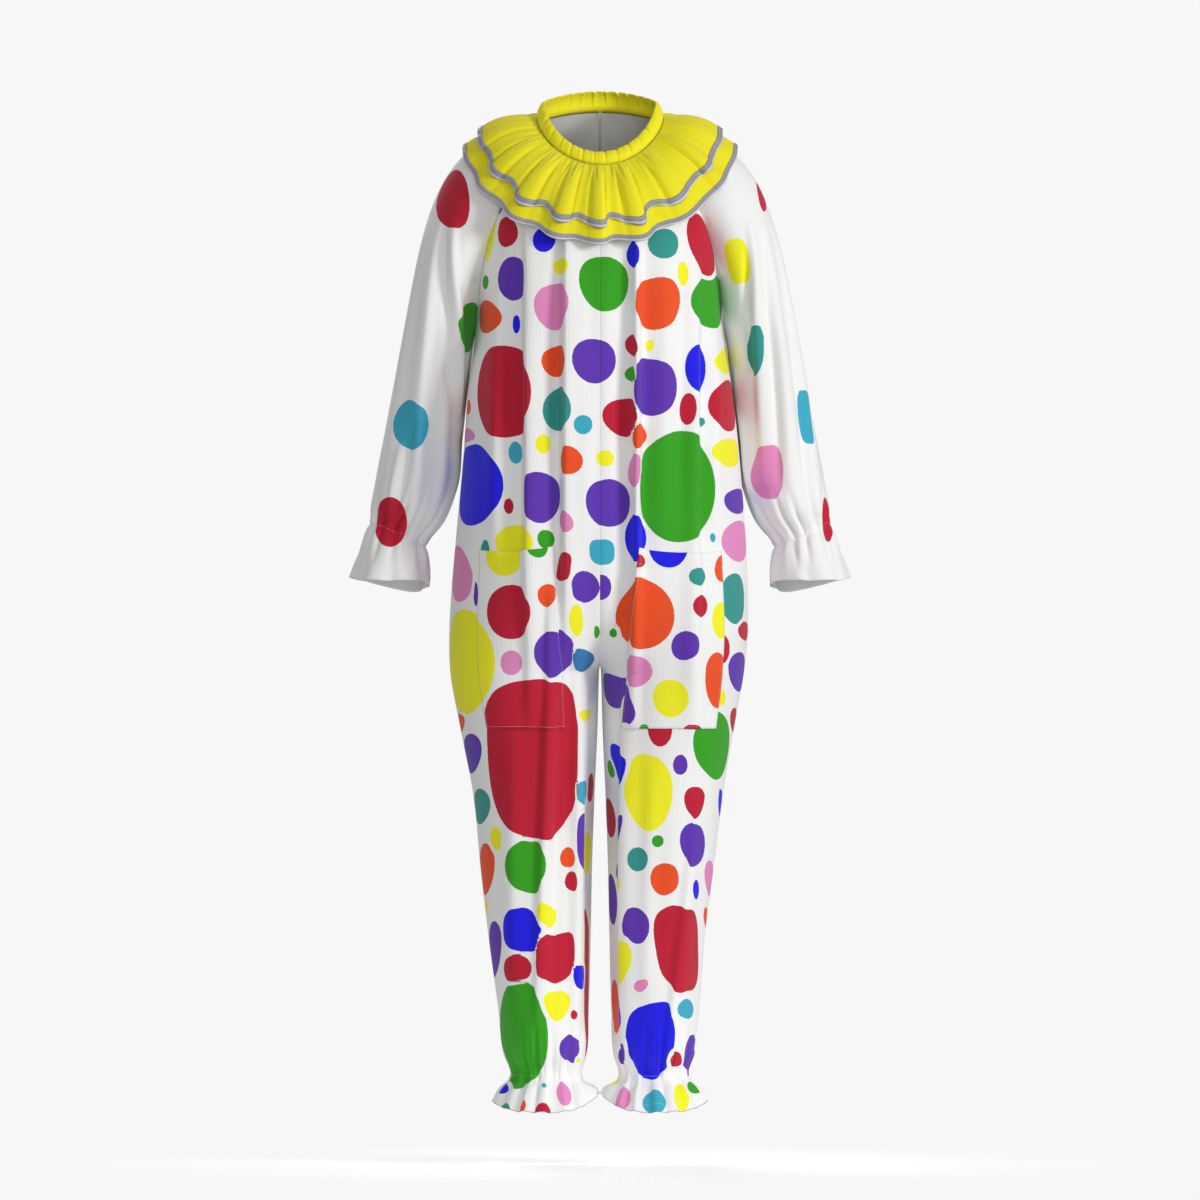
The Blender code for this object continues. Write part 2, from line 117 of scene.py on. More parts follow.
BODY = table(
    "level right_x left_x leg_gap front_y back_y squareness",
    (-0.285, 0.1720, 0.1720, 0.0000, 0.150, 0.145, 2.30),
    (-0.370, 0.1845, 0.1850, 0.0000, 0.155, 0.146, 2.35),
    (-0.480, 0.1925, 0.1965, 0.0000, 0.158, 0.150, 2.40),
    (-0.600, 0.2035, 0.2055, 0.0000, 0.160, 0.155, 2.40),
    (-0.670, 0.2095, 0.2080, 0.0000, 0.156, 0.156, 2.35),
    (-0.722, 0.2120, 0.2080, 0.0000, 0.148, 0.152, 2.30),
    (-0.775, 0.2110, 0.2030, 0.0018, 0.134, 0.142, 2.20),
    (-0.857, 0.1965, 0.1885, 0.0040, 0.118, 0.122, 2.15),
    (-0.950, 0.1785, 0.1730, 0.0080, 0.103, 0.106, 2.10),
    (-1.050, 0.1685, 0.1605, 0.0115, 0.093, 0.096, 2.10),
    (-1.150, 0.1570, 0.1475, 0.0135, 0.086, 0.090, 2.10),
    (-1.250, 0.1435, 0.1398, 0.0160, 0.080, 0.086, 2.10),
    (-1.315, 0.1350, 0.1320, 0.0195, 0.068, 0.076, 2.10),
    (-1.348, 0.1255, 0.1240, 0.0265, 0.048, 0.060, 2.05),
    (-1.370, 0.1400, 0.1390, 0.0150, 0.062, 0.072, 2.00),
    (-1.394, 0.1500, 0.1490, 0.0085, 0.074, 0.084, 2.00),
)
SLEEVE = table(
    "share inner_x inner_z outer_x outer_z half_depth middle_y",
    (1.00, 0.1755, -0.287, 0.2700, -0.272, 0.070, 0.000),
    (1.22, 0.1858, -0.372, 0.2885, -0.362, 0.074, 0.028),
    (1.43, 0.1945, -0.450, 0.3035, -0.440, 0.074, 0.038),
    (1.61, 0.2020, -0.520, 0.3160, -0.505, 0.068, 0.034),
    (1.72, 0.2220, -0.566, 0.3215, -0.544, 0.056, 0.024),
    (1.80, 0.2470, -0.598, 0.3225, -0.567, 0.038, 0.016),
    (1.85, 0.2440, -0.616, 0.3300, -0.585, 0.044, 0.014),
    (1.91, 0.2410, -0.640, 0.3400, -0.612, 0.052, 0.012),
    (2.00, 0.2450, -0.672, 0.3520, -0.646, 0.060, 0.010),
)
WRIST_SHARE = 1.80

# Rings round the neck: half width, y of the front and the back, height of the front, the side and the back.
RINGS = {
    "band_top": (0.0780, -0.0700, 0.0700, -0.0480, 0.0250, 0.0420),
    "neck_seam": (0.0875, -0.0800, 0.0790, -0.0650, 0.0020, 0.0230),
    "upper_hem": (0.1728, -0.1465, 0.1400, -0.1500, -0.0135, -0.0510),
    "lower_hem": (0.1935, -0.1530, 0.1480, -0.1760, -0.0360, -0.0880),
}
print("sections through the body:", len(BODY["level"]), "and through a sleeve:", len(SLEEVE["share"]))

# %% [markdown]
# ## Small tools
#
# A surface here is a grid of points, rows by columns, worked out as whole arrays. These helpers run a smooth
# curve through a table's column, and give a grid's normals and the lengths along it.


# %% Curves through the tables
def smooth(place, places, values):
    """The cubic through a table's rows, with the slope of their neighbours at each; places increase."""
    slopes = np.gradient(values, places)
    at = np.clip(np.searchsorted(places, place, side="right") - 1, 0, len(places) - 2)
    span = places[at + 1] - places[at]
    t = np.clip((place - places[at]) / span, 0, 1)
    rise = values[at + 1] - values[at]
    bend = (1 - t) * (slopes[at] * span - rise) - t * (slopes[at + 1] * span - rise)
    return values[at] + t * rise + t * (1 - t) * bend


def ease(x, start, end):
    """0 before start, 1 after end, and 3t^2 - 2t^3 between."""
    t = np.clip((x - start) / (end - start), 0, 1)
    return t * t * (3 - 2 * t)


def between(x, start, full, fall, end):
    """0 before start, 1 from full to fall, and 0 again after end."""
    return ease(x, start, full) * (1 - ease(x, fall, end))


print("half width of the body at the hip:", smooth(-RISE_LEVEL, -BODY["level"], BODY["left_x"]), "m")


# %% Grids of points
def unit(vectors):
    return vectors / np.linalg.norm(vectors, axis=-1, keepdims=True)


def stack(x, y, z):
    return np.stack(np.broadcast_arrays(x, y, z), axis=-1).astype(float)


def normals(points, closed=False):
    """Unit normals of a grid: down its columns cross along its rows. closed joins the last column to the
    first."""
    wide = np.concatenate([points[:, -1:], points, points[:, :1]], axis=1) if closed else points
    out = unit(np.cross(np.gradient(wide, axis=0), np.gradient(wide, axis=1)))
    return out[:, 1:-1] if closed else out


def lengths(points, axis):
    """How far each point of a grid lies from the first, measured along the cloth on that axis."""
    steps = np.linalg.norm(np.diff(points, axis=axis), axis=-1)
    first = np.zeros_like(np.take(steps, [0], axis=axis))
    return np.concatenate([first, np.cumsum(steps, axis=axis)], axis=axis)


# %% [markdown]
# ## The plain surfaces
#
# The yoke falls from the neck seam to the armpits in a curve with a set direction at each end (a cubic
# Bezier for every column). Below the armpits the body is a run of rounded sections that part into two legs,
# and each sleeve a run of tilted ellipses down the arm. The collar is two cones between a ring at the neck
# and a ring at the hem, rounded over the shoulders.


# %% Round the neck
def turn_down(angle, front, side, back):
    """A value round the neck: side + (end - side) |cos t|^p, with its own end and p for front and back."""
    forward = np.cos(angle) > 0
    end = np.where(forward, front, back)
    power = np.where(forward, *FALL_POWERS)
    return side + (end - side) * np.abs(np.cos(angle)) ** power


def ring(name, angle):
    """A ring round the neck: half width times sine, depth times cosine, and a height that turns down
    to the front and the back. Angle 0 is the centre front and +90 degrees the wearer's left."""
    half_width, front_y, back_y, front_z, side_z, back_z = RINGS[name]
    y = (front_y + back_y) / 2 - (back_y - front_y) / 2 * np.cos(angle)
    return stack(half_width * np.sin(angle), y, turn_down(angle, front_z, side_z, back_z))


def neck_frame(angle):
    """At the neck seam: the direction that the cloth leaves it in, and the normal out of the cloth."""
    slope = np.radians(turn_down(angle, *SLOPES))[..., None]
    away = stack(np.sin(angle), -np.cos(angle), 0)
    up = np.array([0.0, 0.0, 1.0])
    return away * np.cos(slope) - up * np.sin(slope), away * np.sin(slope) + up * np.cos(slope)


def body_neck(angle):
    """The jumpsuit's top edge, under the seams of the two tiers, and the steeper way that it leaves in."""
    along, out = neck_frame(angle)
    depth = RUFFLE_WALL * 1.5 + BODY_WALL / 2 + 5 * SEAM_GAP
    return ring("neck_seam", angle) + along * SEAM_GAP - out * depth, unit(along - out * np.tan(UNDER_SLOPE))


def yoke_reach(angle):
    """How far the cloth keeps its way at the neck: over the shoulders further than down the chest."""
    return NECK_REACH + NECK_REACH_OVER * np.sin(angle) ** 4


def drape(start, start_way, start_reach, end, end_way, end_reach, t):
    """A cubic Bezier from the neck to the armpit level, leaving and arriving along given directions."""
    t = t[..., None]
    handle_a = start + start_way * start_reach[..., None]
    handle_b = end - end_way * end_reach[..., None]
    return (1 - t) ** 3 * start + 3 * (1 - t) ** 2 * t * handle_a + 3 * (1 - t) * t**2 * handle_b + t**3 * end


# %% A body panel
def body_section(side, face, u, level):
    """A panel at heights below the armpit: |x/a|^n + |y/b|^n = 1 about a middle that moves out from the
    body's to the leg's as the centre seam curves under. x runs from the inner edge to the outline as
    sin^2(pi u/2), so that u is 0 at the centre seam or inseam and 1 at the side. At the ankle hem the
    corners rise with the fourth power of their distance from the middle."""

    def at(name):
        return smooth(-level, -BODY["level"], BODY[name])

    outline = at("left_x" if side > 0 else "right_x")
    gap = at("leg_gap") * (level < CROTCH_LEVEL + PARTING)
    depth = at("front_y" if face < 0 else "back_y")
    n = at("squareness")
    fallen = np.clip((RISE_LEVEL - level) / (RISE_LEVEL - CROTCH_LEVEL), 0, 1) ** 1.5
    leg = 2 * fallen / (1 + fallen)
    middle = leg * (outline + gap) / 2
    share = np.sin(np.pi * u / 2) ** 2 + (1 - leg) * 0.45 * u * (1 - u) ** 4
    x = gap + (outline - gap) * share
    reach = np.clip(np.abs((x - middle) / (outline - middle)), 0, 1)
    y = depth * np.maximum(1 - reach**n, 0) ** (1 / n)
    hem = ease(-level, *HEM_FLARE)
    corner = hem * reach**4
    inner = x < middle
    dip = HEM_DIP * hem * (y / depth) * (face < 0) - corner * np.where(inner, *CORNER_RISES)
    x = x - CORNER_SHIFT * corner * inner
    return stack(side * x, face * y, level - dip)


def seam_way(side, face, u):
    """The direction in which the yoke's lines reach the armpit level: straight down at the centre, and from
    the front (or back) towards the armpit at the raglan seam."""
    return unit(stack(side * 0.05 * u, -face * 0.50 * u**3, -0.86 + 0 * u))


def body_panel(side, face, u, row):
    """A body panel without folds. row is 0 to 1 from the neck to the armpit, and 1 to 2 on to the hem."""
    u, row = np.broadcast_arrays(u, row)
    angle = u * (RAGLAN_ANGLE - NECK_INSET)
    start, along = body_neck(side * (angle if face < 0 else np.pi - angle))
    lower = body_section(side, face, u, np.full(u.shape, ARMPIT_LEVEL))
    arriving = np.full(u.shape, ARMPIT_REACH)
    yoke = drape(start, along, yoke_reach(angle), lower, seam_way(side, face, u), arriving, np.clip(row, 0, 1))
    level = ARMPIT_LEVEL + (np.maximum(row, 1) - 1) * (HEM_LEVEL - ARMPIT_LEVEL)
    return np.where((row < 1)[..., None], yoke, body_section(side, face, u, level))


# %% A sleeve
def sleeve_section(side, turn, share):
    """Round the sleeve below the armpit: an ellipse about the arm's line, tilted square to it. turn is 0 at
    the underarm seam, 0.25 at the front, 0.5 outside and 1 at the seam again."""

    def at(name):
        return smooth(share, SLEEVE["share"], SLEEVE[name])

    psi = np.pi * (2 * turn - 1)
    outward = (1 + np.cos(psi)) / 2
    x = at("inner_x") + (at("outer_x") - at("inner_x")) * outward
    z = at("inner_z") + (at("outer_z") - at("inner_z")) * outward
    return stack(side * x, at("middle_y") + at("half_depth") * np.sin(psi), z)


def sleeve_panel(side, turn, row):
    """A sleeve without folds, on the same rows as the body's yoke down to 1."""
    turn, row = np.broadcast_arrays(turn, row)
    first = RAGLAN_ANGLE + NECK_INSET
    angle = side * (first + turn * (np.pi - 2 * first))
    start, along = body_neck(angle)
    lower = sleeve_section(side, turn, np.ones(turn.shape))
    at_seam = (np.cos(np.pi * turn) ** 2) ** 1.5
    face = np.where(turn < 0.5, -1, 1)
    way = unit(
        stack(side * 0.17 * (1 - at_seam), 0, -0.98 * (1 - at_seam))
        + at_seam[..., None] * seam_way(side, face, np.ones(turn.shape))
    )
    arriving = ARMPIT_REACH + ARMPIT_REACH_OVER * np.sin(np.pi * turn) ** 2
    yoke = drape(start, along, yoke_reach(angle), lower, way, arriving, np.clip(row, 0, 1))
    points = np.where((row < 1)[..., None], yoke, sleeve_section(side, turn, np.maximum(row, 1)))
    points[..., 0] += side * RAGLAN_SPREAD * at_seam * np.sin(np.pi * np.clip(row, 0, 1))
    return points


# %% [markdown]
# ## Folds, creases and gathers
#
# Loose jersey hangs from a gathered neck in long upright folds. Each one is steeper on one flank than on
# the other, because the cloth leans, and the sharpest ones hide a strip of cloth behind their steep flank,
# which is why a dot can be cut off there. They could come from a cloth simulation, but they are placed one
# by one, because their places decide how the costume reads. A fold is a bell over the plain surface with its
# own width on each flank, and it swells and dies along its length.

# %% Tables of folds
# On the body, in millimetres: x from the centre at the fold's top and at its bottom, the widths of its inner
# and outer flanks, its height, the cloth that it hides, and the levels at which it starts and ends.
BODY_FOLDS = {
    "front_right": (
        (46, 48, 20, 6, 9, 8, -100, -760),
        (61, 58, 6, 14, -5.5, 0, -120, -680),
        (101, 98, 18, 7, 8.5, 6, -120, -860),
        (112, 110, 6, 12, -4.5, 0, -150, -600),
        (141, 146, 8, 16, 6.5, 0, -200, -620),
        (127, 128, 12, 6, -4, 0, -200, -560),
        (22, 20, 12, 12, 3, 0, -240, -620),
        (36, 38, 16, 5.5, 8.5, 10, -720, -1300),
        (68, 89, 16, 6, 7.5, 12, -660, -1280),
        (58, 66, 12, 8, -4, 0, -800, -1260),
        (122, 124, 12, 16, 4.5, 0, -840, -1280),
        (20, 23, 10, 7, -4.5, 0, -800, -1290),
    ),
    "front_left": (
        (30, 31, 14, 9, -6, 0, -100, -820),
        (50, 50, 5.5, 6.5, 10.5, 16, -90, -860),
        (62, 62, 6, 16, -3, 0, -140, -660),
        (94, 90, 18, 18, 5, 0, -140, -600),
        (116, 112, 14, 10, -3.5, 0, -170, -560),
        (134, 130, 14, 7, 6.5, 0, -190, -880),
        (147, 143, 7, 8, -5, 0, -180, -620),
        (163, 161, 6, 12, 4.5, 0, -220, -600),
        (37, 34, 5.5, 16, 8.5, 12, -780, -1310),
        (136, 90, 6, 18, 6.5, 10, -950, -1340),
        (72, 64, 12, 12, 3, 0, -900, -1240),
        (24, 23, 12, 6, -5, 0, -800, -1300),
    ),
    "back_right": (
        (50, 60, 11, 22, 9.5, 6, -100, -800),
        (37, 44, 12, 8, -4, 0, -140, -700),
        (22, 18, 10, 12, 4, 0, -130, -560),
        (115, 125, 20, 9, 8.5, 6, -140, -740),
        (134, 142, 7, 12, -4.5, 0, -200, -660),
        (152, 156, 9, 14, 4.5, 0, -240, -600),
        (90, 80, 9, 18, 8, 8, -780, -1300),
        (50, 48, 14, 8, 5.5, 0, -880, -1290),
    ),
    "back_left": (
        (42, 48, 21, 9, 8.5, 6, -100, -780),
        (60, 68, 7, 13, -4.5, 0, -130, -620),
        (108, 112, 10, 22, 9.5, 8, -120, -820),
        (93, 95, 14, 7, -4, 0, -170, -700),
        (150, 153, 12, 11, 4.5, 0, -200, -640),
        (70, 78, 18, 8, 8, 8, -820, -1300),
        (112, 110, 12, 12, 4.5, 0, -900, -1260),
        (40, 36, 10, 12, 4, 0, -860, -1220),
    ),
}

# Round a sleeve a place is a turn: 0 at the front seam, 0.5 outside and 1 at the back seam. The turns at the
# top and at the bottom, the front and back flanks' widths in turns, the height in metres, and the rows.
SLEEVE_FOLDS = {
    "right": (
        (0.26, 0.09, 0.022, 0.034, 0.0065, 0.58, 1.34),
        (0.30, 0.16, 0.022, 0.026, -0.0040, 0.64, 1.30),
        (0.34, 0.24, 0.022, 0.050, 0.0068, 0.60, 1.72),
        (0.43, 0.37, 0.045, 0.030, 0.0050, 0.66, 1.74),
        (0.19, 0.14, 0.030, 0.018, 0.0045, 1.20, 1.74),
        (0.29, 0.30, 0.016, 0.022, -0.0038, 1.36, 1.78),
        (0.33, 0.34, 0.018, 0.014, 0.0036, 1.46, 1.77),
        (0.58, 0.62, 0.050, 0.030, 0.0058, 0.60, 1.70),
        (0.66, 0.70, 0.022, 0.030, -0.0036, 0.70, 1.56),
        (0.72, 0.78, 0.030, 0.055, 0.0062, 0.62, 1.72),
        (0.84, 0.86, 0.024, 0.030, 0.0040, 1.10, 1.74),
    ),
    "left": (
        (0.28, 0.17, 0.020, 0.036, 0.0065, 0.58, 1.62),
        (0.23, 0.13, 0.022, 0.020, -0.0045, 0.70, 1.56),
        (0.36, 0.27, 0.030, 0.040, 0.0050, 0.62, 1.73),
        (0.32, 0.23, 0.018, 0.020, -0.0036, 0.80, 1.66),
        (0.44, 0.38, 0.026, 0.045, 0.0050, 0.66, 1.75),
        (0.40, 0.33, 0.018, 0.020, -0.0034, 1.00, 1.76),
        (0.09, 0.10, 0.020, 0.026, 0.0040, 1.16, 1.72),
        (0.57, 0.61, 0.030, 0.048, 0.0058, 0.60, 1.71),
        (0.68, 0.70, 0.026, 0.024, -0.0036, 0.72, 1.60),
        (0.74, 0.79, 0.050, 0.028, 0.0060, 0.64, 1.72),
        (0.87, 0.88, 0.026, 0.026, 0.0040, 1.05, 1.70),
    ),
}
BODY_RELIEF, SLEEVE_RELIEF = 1.4, 1.6
for place, folds in (("body", BODY_FOLDS), ("sleeves", SLEEVE_FOLDS)):
    print("folds on the", place, ":", sum(len(rows) for rows in folds.values()))


# %% Folds as heights
def bell(distance, near_flank, far_flank):
    """exp(-(d/w)^2), with one width w before the fold's line and another after it."""
    return np.exp(-((distance / np.where(distance < 0, near_flank, far_flank)) ** 2))


def swell(down):
    """0 at both ends of a fold and 1 along its middle: sin(pi t)^0.6."""
    inside = (down > 0) & (down < 1)
    return np.sin(np.pi * np.clip(down, 0, 1)) ** 0.6 * inside


def uneven(turns, count, drift):
    """The phase of count gathers round a hem, whose spacing drifts so that no two are alike."""
    wander = np.sin(2 * np.pi * (3 * turns + 0.17)) + 0.7 * np.sin(2 * np.pi * (7 * turns + 0.4))
    return 2 * np.pi * count * turns + drift * wander


def sharp(phase):
    """A wave with broad crests and narrow troughs, from 0.5 down to -1."""
    return 0.5 - 1.5 * np.exp((np.cos(phase + np.pi) - 1) / 0.45)


# Where the ankle's gathers grow and die above its elastic and start below it, in metres under the neck, and
# the same round the wrist, in the sleeve's rows, with the flare of its cuff.
ANKLE_ABOVE, ANKLE_BELOW, ANKLE_TIGHT = (1.255, 1.340, 1.348, 1.358), (1.350, 1.366), 0.010
WRIST_ABOVE, WRIST_BELOW = (1.60, 1.785, 1.795, 1.815), (1.805, 1.83, 1.84, 1.95)
WRIST_TIGHT, CUFF_FLARE = 0.020, (1.84, 1.99)


def body_folds(piece, side, u, row, points):
    """Height of a panel's folds and gathers over its plain surface, and the cloth that its folds hide
    between the centre seam and each point. The folds die at both seams. A slack, shallow lie of 1 mm runs
    between them, and the elastic draws up eight gathers a panel, sharp above it and round below."""
    x, z = side * points[..., 0], points[..., 2]
    height, hidden = np.zeros(x.shape), np.zeros(x.shape)
    for top_x, bottom_x, inner, outer, ridge, tuck, top_z, bottom_z in np.array(BODY_FOLDS[piece]) / 1000:
        down = (top_z - z) / (top_z - bottom_z)
        place = top_x + (bottom_x - top_x) * np.clip(down, 0, 1)
        height += BODY_RELIEF * ridge * bell(x - place, inner, outer) * swell(down)
        steep = place + 0.5 * (outer if outer < inner else -inner)
        hidden += tuck * ease(x - steep, -0.002, 0.002) * ease(swell(down), 0, 0.5)
    height *= 1 - np.clip(x / x[:, -1:], 0, 1) ** 8
    height *= ease(u, 0, 0.10)
    lie = 0.0010 * np.cos(2 * np.pi * (3.1 * u + 1.3 * z)) * np.cos(2 * np.pi * (1.7 * z + 0.6 * u))
    height += lie * ease(u, 0, 0.2) * (1 - ease(u, 0.85, 1)) * ease(row, 0.4, 0.8)
    above, below = between(-z, *ANKLE_ABOVE), ease(-z, *ANKLE_BELOW)
    tight = np.exp(-(((z - ANKLE_LEVEL) / ANKLE_TIGHT) ** 2))
    phase = uneven(u, 8, 0.5)
    height += 0.0030 * above * sharp(phase) + 0.0026 * below * np.cos(phase)
    height += (0.0008 * above + 0.0005 * below) * np.cos(2.3 * phase + 1.1)
    height += 0.0007 * tight * np.cos(2.0 * phase)
    return height * (1 - np.exp(-((u / 0.012) ** 2))), hidden


def sleeve_folds(side_name, turn, row):
    """Height of a sleeve's folds over its plain surface, with thirteen gathers at the wrist, like the
    ankle's, and six slow waves in the cuff."""
    height = np.zeros(np.broadcast(turn, row).shape)
    for top_turn, bottom_turn, front, back, ridge, top, bottom in SLEEVE_FOLDS[side_name]:
        down = (row - top) / (bottom - top)
        place = top_turn + (bottom_turn - top_turn) * np.clip(down, 0, 1)
        height += SLEEVE_RELIEF * ridge * bell(turn - place, front, back) * swell(down)
    height *= between(turn, 0, 0.05, 0.95, 1)
    phase = uneven(turn, 13, 0.7)
    above, below = between(row, *WRIST_ABOVE), between(row, *WRIST_BELOW)
    tight = np.exp(-(((row - WRIST_SHARE) / WRIST_TIGHT) ** 2))
    height += 0.0054 * above * sharp(phase) + 0.0026 * below * np.cos(phase)
    height += 0.0007 * above * np.cos(2.2 * phase + 0.7) + 0.0007 * below * np.cos(2.1 * phase + 0.4)
    height += 0.0026 * ease(row, *CUFF_FLARE) * np.cos(uneven(turn, 6, 0.9))
    return height + 0.0007 * tight * np.cos(2.0 * phase)


# %% [markdown]
# ## The dots
#
# The cloth is printed before it is cut, in one repeat of polka dots of many sizes. On the real costume the
# pattern is laid out flat, so pockets and sleeves don't match what is under or beside them, and gathers and
# folds squeeze a round dot into an upright oval. The print could be an image, but it is charted here: a dot
# is a colour, a place and two half sizes. The chart's unit is 1.41 mm, across from the centre front to the
# wearer's left and up from a point 677 mm below the neck opening. It is held upright at the neck and carried
# straight back on to the costume from 20 m in front.

# %% Chart of the fronts
CHART_UNIT = 0.00141
CHART_MIDDLE = -0.677
CHART_REACH = 20.0
# Across, up, half width and half height. A fifth number leans a dot and a sixth squares it.
FRONT_DOTS = {
    "purple": [
        (-103, 395, 6, 8), (-89, 321, 13, 22), (-6, 238, 22, 23), (55, 214, 21, 28), (137, 98, 13, 14),
        (-58, 103, 18, 25), (8, 98, 22, 24), (-124, 7, 3, 12), (-14, 13, 14, 15), (3, 12, 8, 13),
        (-46, -54, 20, 24), (16, -94, 12, 17), (137, -74, 9, 19), (-128, -153, 10, 20), (80, -165, 8, 9),
        (20, -249, 4, 33), (92, -246, 12, 22), (-20, -245, 4, 28), (11, -294, 7, 23), (36, -325, 14, 17),
        (-109, -348, 10, 28), (-31, -449, 10, 13), (92, -454, 8, 20), (22, -454, 3, 10),
    ],
    "yellow": [
        (-111, 362, 5, 25), (83, 327, 6, 12), (-39, 333, 8, 9), (50, 254, 5, 6), (124, 238, 10, 13),
        (-57, 155, 8, 10), (5, 142, 9, 8), (125, 145, 13, 15), (-86, 58, 18, 18), (-24, -20, 7, 17),
        (-128, -66, 24, 52), (122, -97, 3, 8), (-15, -118, 6, 6), (48, -193, 24, 37), (-104, -239, 6, 12),
        (-11, -248, 4, 20), (25, -283, 3, 8), (-113, -309, 3, 6), (-54, -316, 11, 12), (25, -363, 7, 25),
        (-43, -407, 14, 14), (-23, -459, 3, 4), (13, -478, 7, 7), (82, -493, 8, 19),
    ],
    "red": [
        (-92, 367, 10, 16), (101, 352, 11, 38, 0.38), (31, 253, 6, 11), (-95, 208, 27, 47),
        (20, 180, 18, 19), (88, 191, 9, 15), (123, 191, 16, 25), (-91, 94, 5, 9), (-36, 34, 7, 15, 0, 4.0),
        (144, -32, 7, 10), (122, -49, 8, 15), (-67, -159, 45, 79, 0, 2.8), (60, -127, 12, 18),
        (136, -118, 6, 12), (-10, -188, 3, 14), (94, -202, 10, 17), (8, -214, 8, 18), (-29, -282, 6, 10),
        (77, -352, 21, 43, 0.06, 3.4), (-82, -368, 14, 14), (-45, -361, 19, 24, 0, 3.0), (-14, -380, 3, 78),
        (-26, -414, 3, 5), (74, -459, 8, 8), (-57, -511, 9, 9),
    ],
    "blue": [
        (-56, 360, 11, 12), (33, 345, 6, 14), (-84, 276, 4, 9), (96, 231, 10, 24), (-119, 111, 22, 41),
        (36, 63, 11, 24), (19, -166, 7, 21), (119, -205, 3, 13), (96, -288, 3, 10), (-77, -328, 20, 22),
        (-21, -379, 6, 13), (20, -405, 3, 23), (50, -443, 24, 37), (-98, -485, 9, 9),
    ],
    "teal": [
        (63, 357, 15, 15), (-43, 192, 14, 22), (102, 179, 3, 6), (-115, 47, 5, 14), (132, -1, 12, 25),
        (-118, -208, 9, 18), (38, -259, 10, 11), (-97, -509, 7, 7),
    ],
    "green": [
        (-114, 318, 3, 7), (4, 316, 25, 28), (106, 295, 16, 27), (31, 225, 6, 9), (78, 113, 38, 57),
        (-54, 60, 9, 10), (14, -33, 5, 5), (-3, -31, 3, 6), (110, -148, 18, 34), (12, -171, 4, 9),
        (58, -240, 6, 6), (-75, -264, 20, 26), (-77, -438, 25, 53), (95, -486, 8, 8),
    ],
    "pink": [
        (-49, 293, 17, 23), (-133, 168, 8, 8), (34, 130, 6, 17), (-33, 78, 7, 12), (134, 55, 13, 20),
        (-145, 31, 18, 28), (111, -277, 7, 18), (41, -386, 7, 7), (-35, -488, 9, 18), (21, -497, 10, 13),
    ],
    "orange": [
        (57, 296, 22, 26), (-109, 280, 11, 17), (-47, 238, 12, 17), (-132, 195, 4, 8), (40, 166, 7, 14),
        (-28, 139, 11, 14), (46, -14, 30, 35), (-141, -121, 6, 11), (-115, -269, 10, 25),
        (65, -279, 14, 16), (-33, -256, 8, 10), (103, -321, 3, 11), (14, -396, 5, 27), (-79, -505, 5, 7),
        (-11, -473, 6, 5),
    ],
    "cyan": [
        (-17, 175, 9, 9), (-85, 149, 7, 11), (112, 62, 3, 5), (2, 48, 13, 12, 0, 2.8), (-19, -196, 6, 12),
        (85, -409, 8, 11), (-56, -484, 4, 4), (54, -501, 13, 13),
    ],
    "sky": [(-17, -60, 11, 11)],
}
print("dots on the fronts:", sum(len(dots) for dots in FRONT_DOTS.values()))

# %% Charts of the pockets and the sleeves
POCKET_DOTS = {
    "yellow": [
        (-95, 42, 18, 19), (-128, -66, 24, 52), (-24, -20, 7, 17), (119, -20, 8, 18), (71, -99, 18, 19),
    ],
    "green": [(-62, 52, 10, 10), (45, -129, 5, 4)],
    "red": [
        (-91, -11, 21, 27), (-67, -159, 45, 79, 0, 2.8), (-36, 34, 7, 15, 0, 4.0), (37, 39, 7, 7),
        (100, -6, 7, 12), (92, -130, 9, 6),
    ],
    "orange": [(-53, 4, 10, 11), (121, 31, 7, 14), (46, -14, 28, 35), (115, -80, 11, 28)],
    "pink": [(-88, -63, 11, 12), (40, -74, 13, 17)],
    "purple": [(-47, -54, 20, 24), (-124, 7, 3, 12), (85, -45, 13, 14), (27, -105, 8, 20)],
    "blue": [(69, 53, 20, 20)],
    "teal": [(96, 24, 8, 9)],
}
SLEEVE_DOTS = {
    "red": [(-146, 400, 16, 28), (-210, 78, 17, 25), (163, 405, 6, 16), (228, 84, 6, 26)],
    "green": [(-123, 269, 18, 23)],
    "cyan": [(-189, 175, 18, 26), (205, 183, 6, 28, 0.16, 4.0)],
    "yellow": [(138, 341, 11, 27, 0.22, 3.0)],
    "teal": [(155, 250, 9, 26)],
    "pink": [(167, 128, 16, 27)],
}
for place, chart in (("pockets", POCKET_DOTS), ("sleeves' fronts", SLEEVE_DOTS)):
    print("dots on the", place, ":", sum(len(dots) for dots in chart.values()))

# %% [markdown]
# Each point of a panel keeps how far it lies outside the nearest dot's edge, in metres of cloth, and that
# dot's colour. The material then only compares the first with zero, so edges stay sharp at any distance. A
# dot's own place and sizes are looked up on the cloth, so a fold that crosses it really bends it.


# %% Dots on the cloth
def srgb(hex_colour):
    """An sRGB hex value as linear RGBA: (c + 0.055) / 1.055 to the power 2.4, or c / 12.92 near black."""
    value = np.array([int(hex_colour[i : i + 2], 16) for i in (1, 3, 5)]) / 255
    light = np.where(value > 0.04045, ((value + 0.055) / 1.055) ** 2.4, value / 12.92)
    return (*(float(c) for c in light), 1.0)


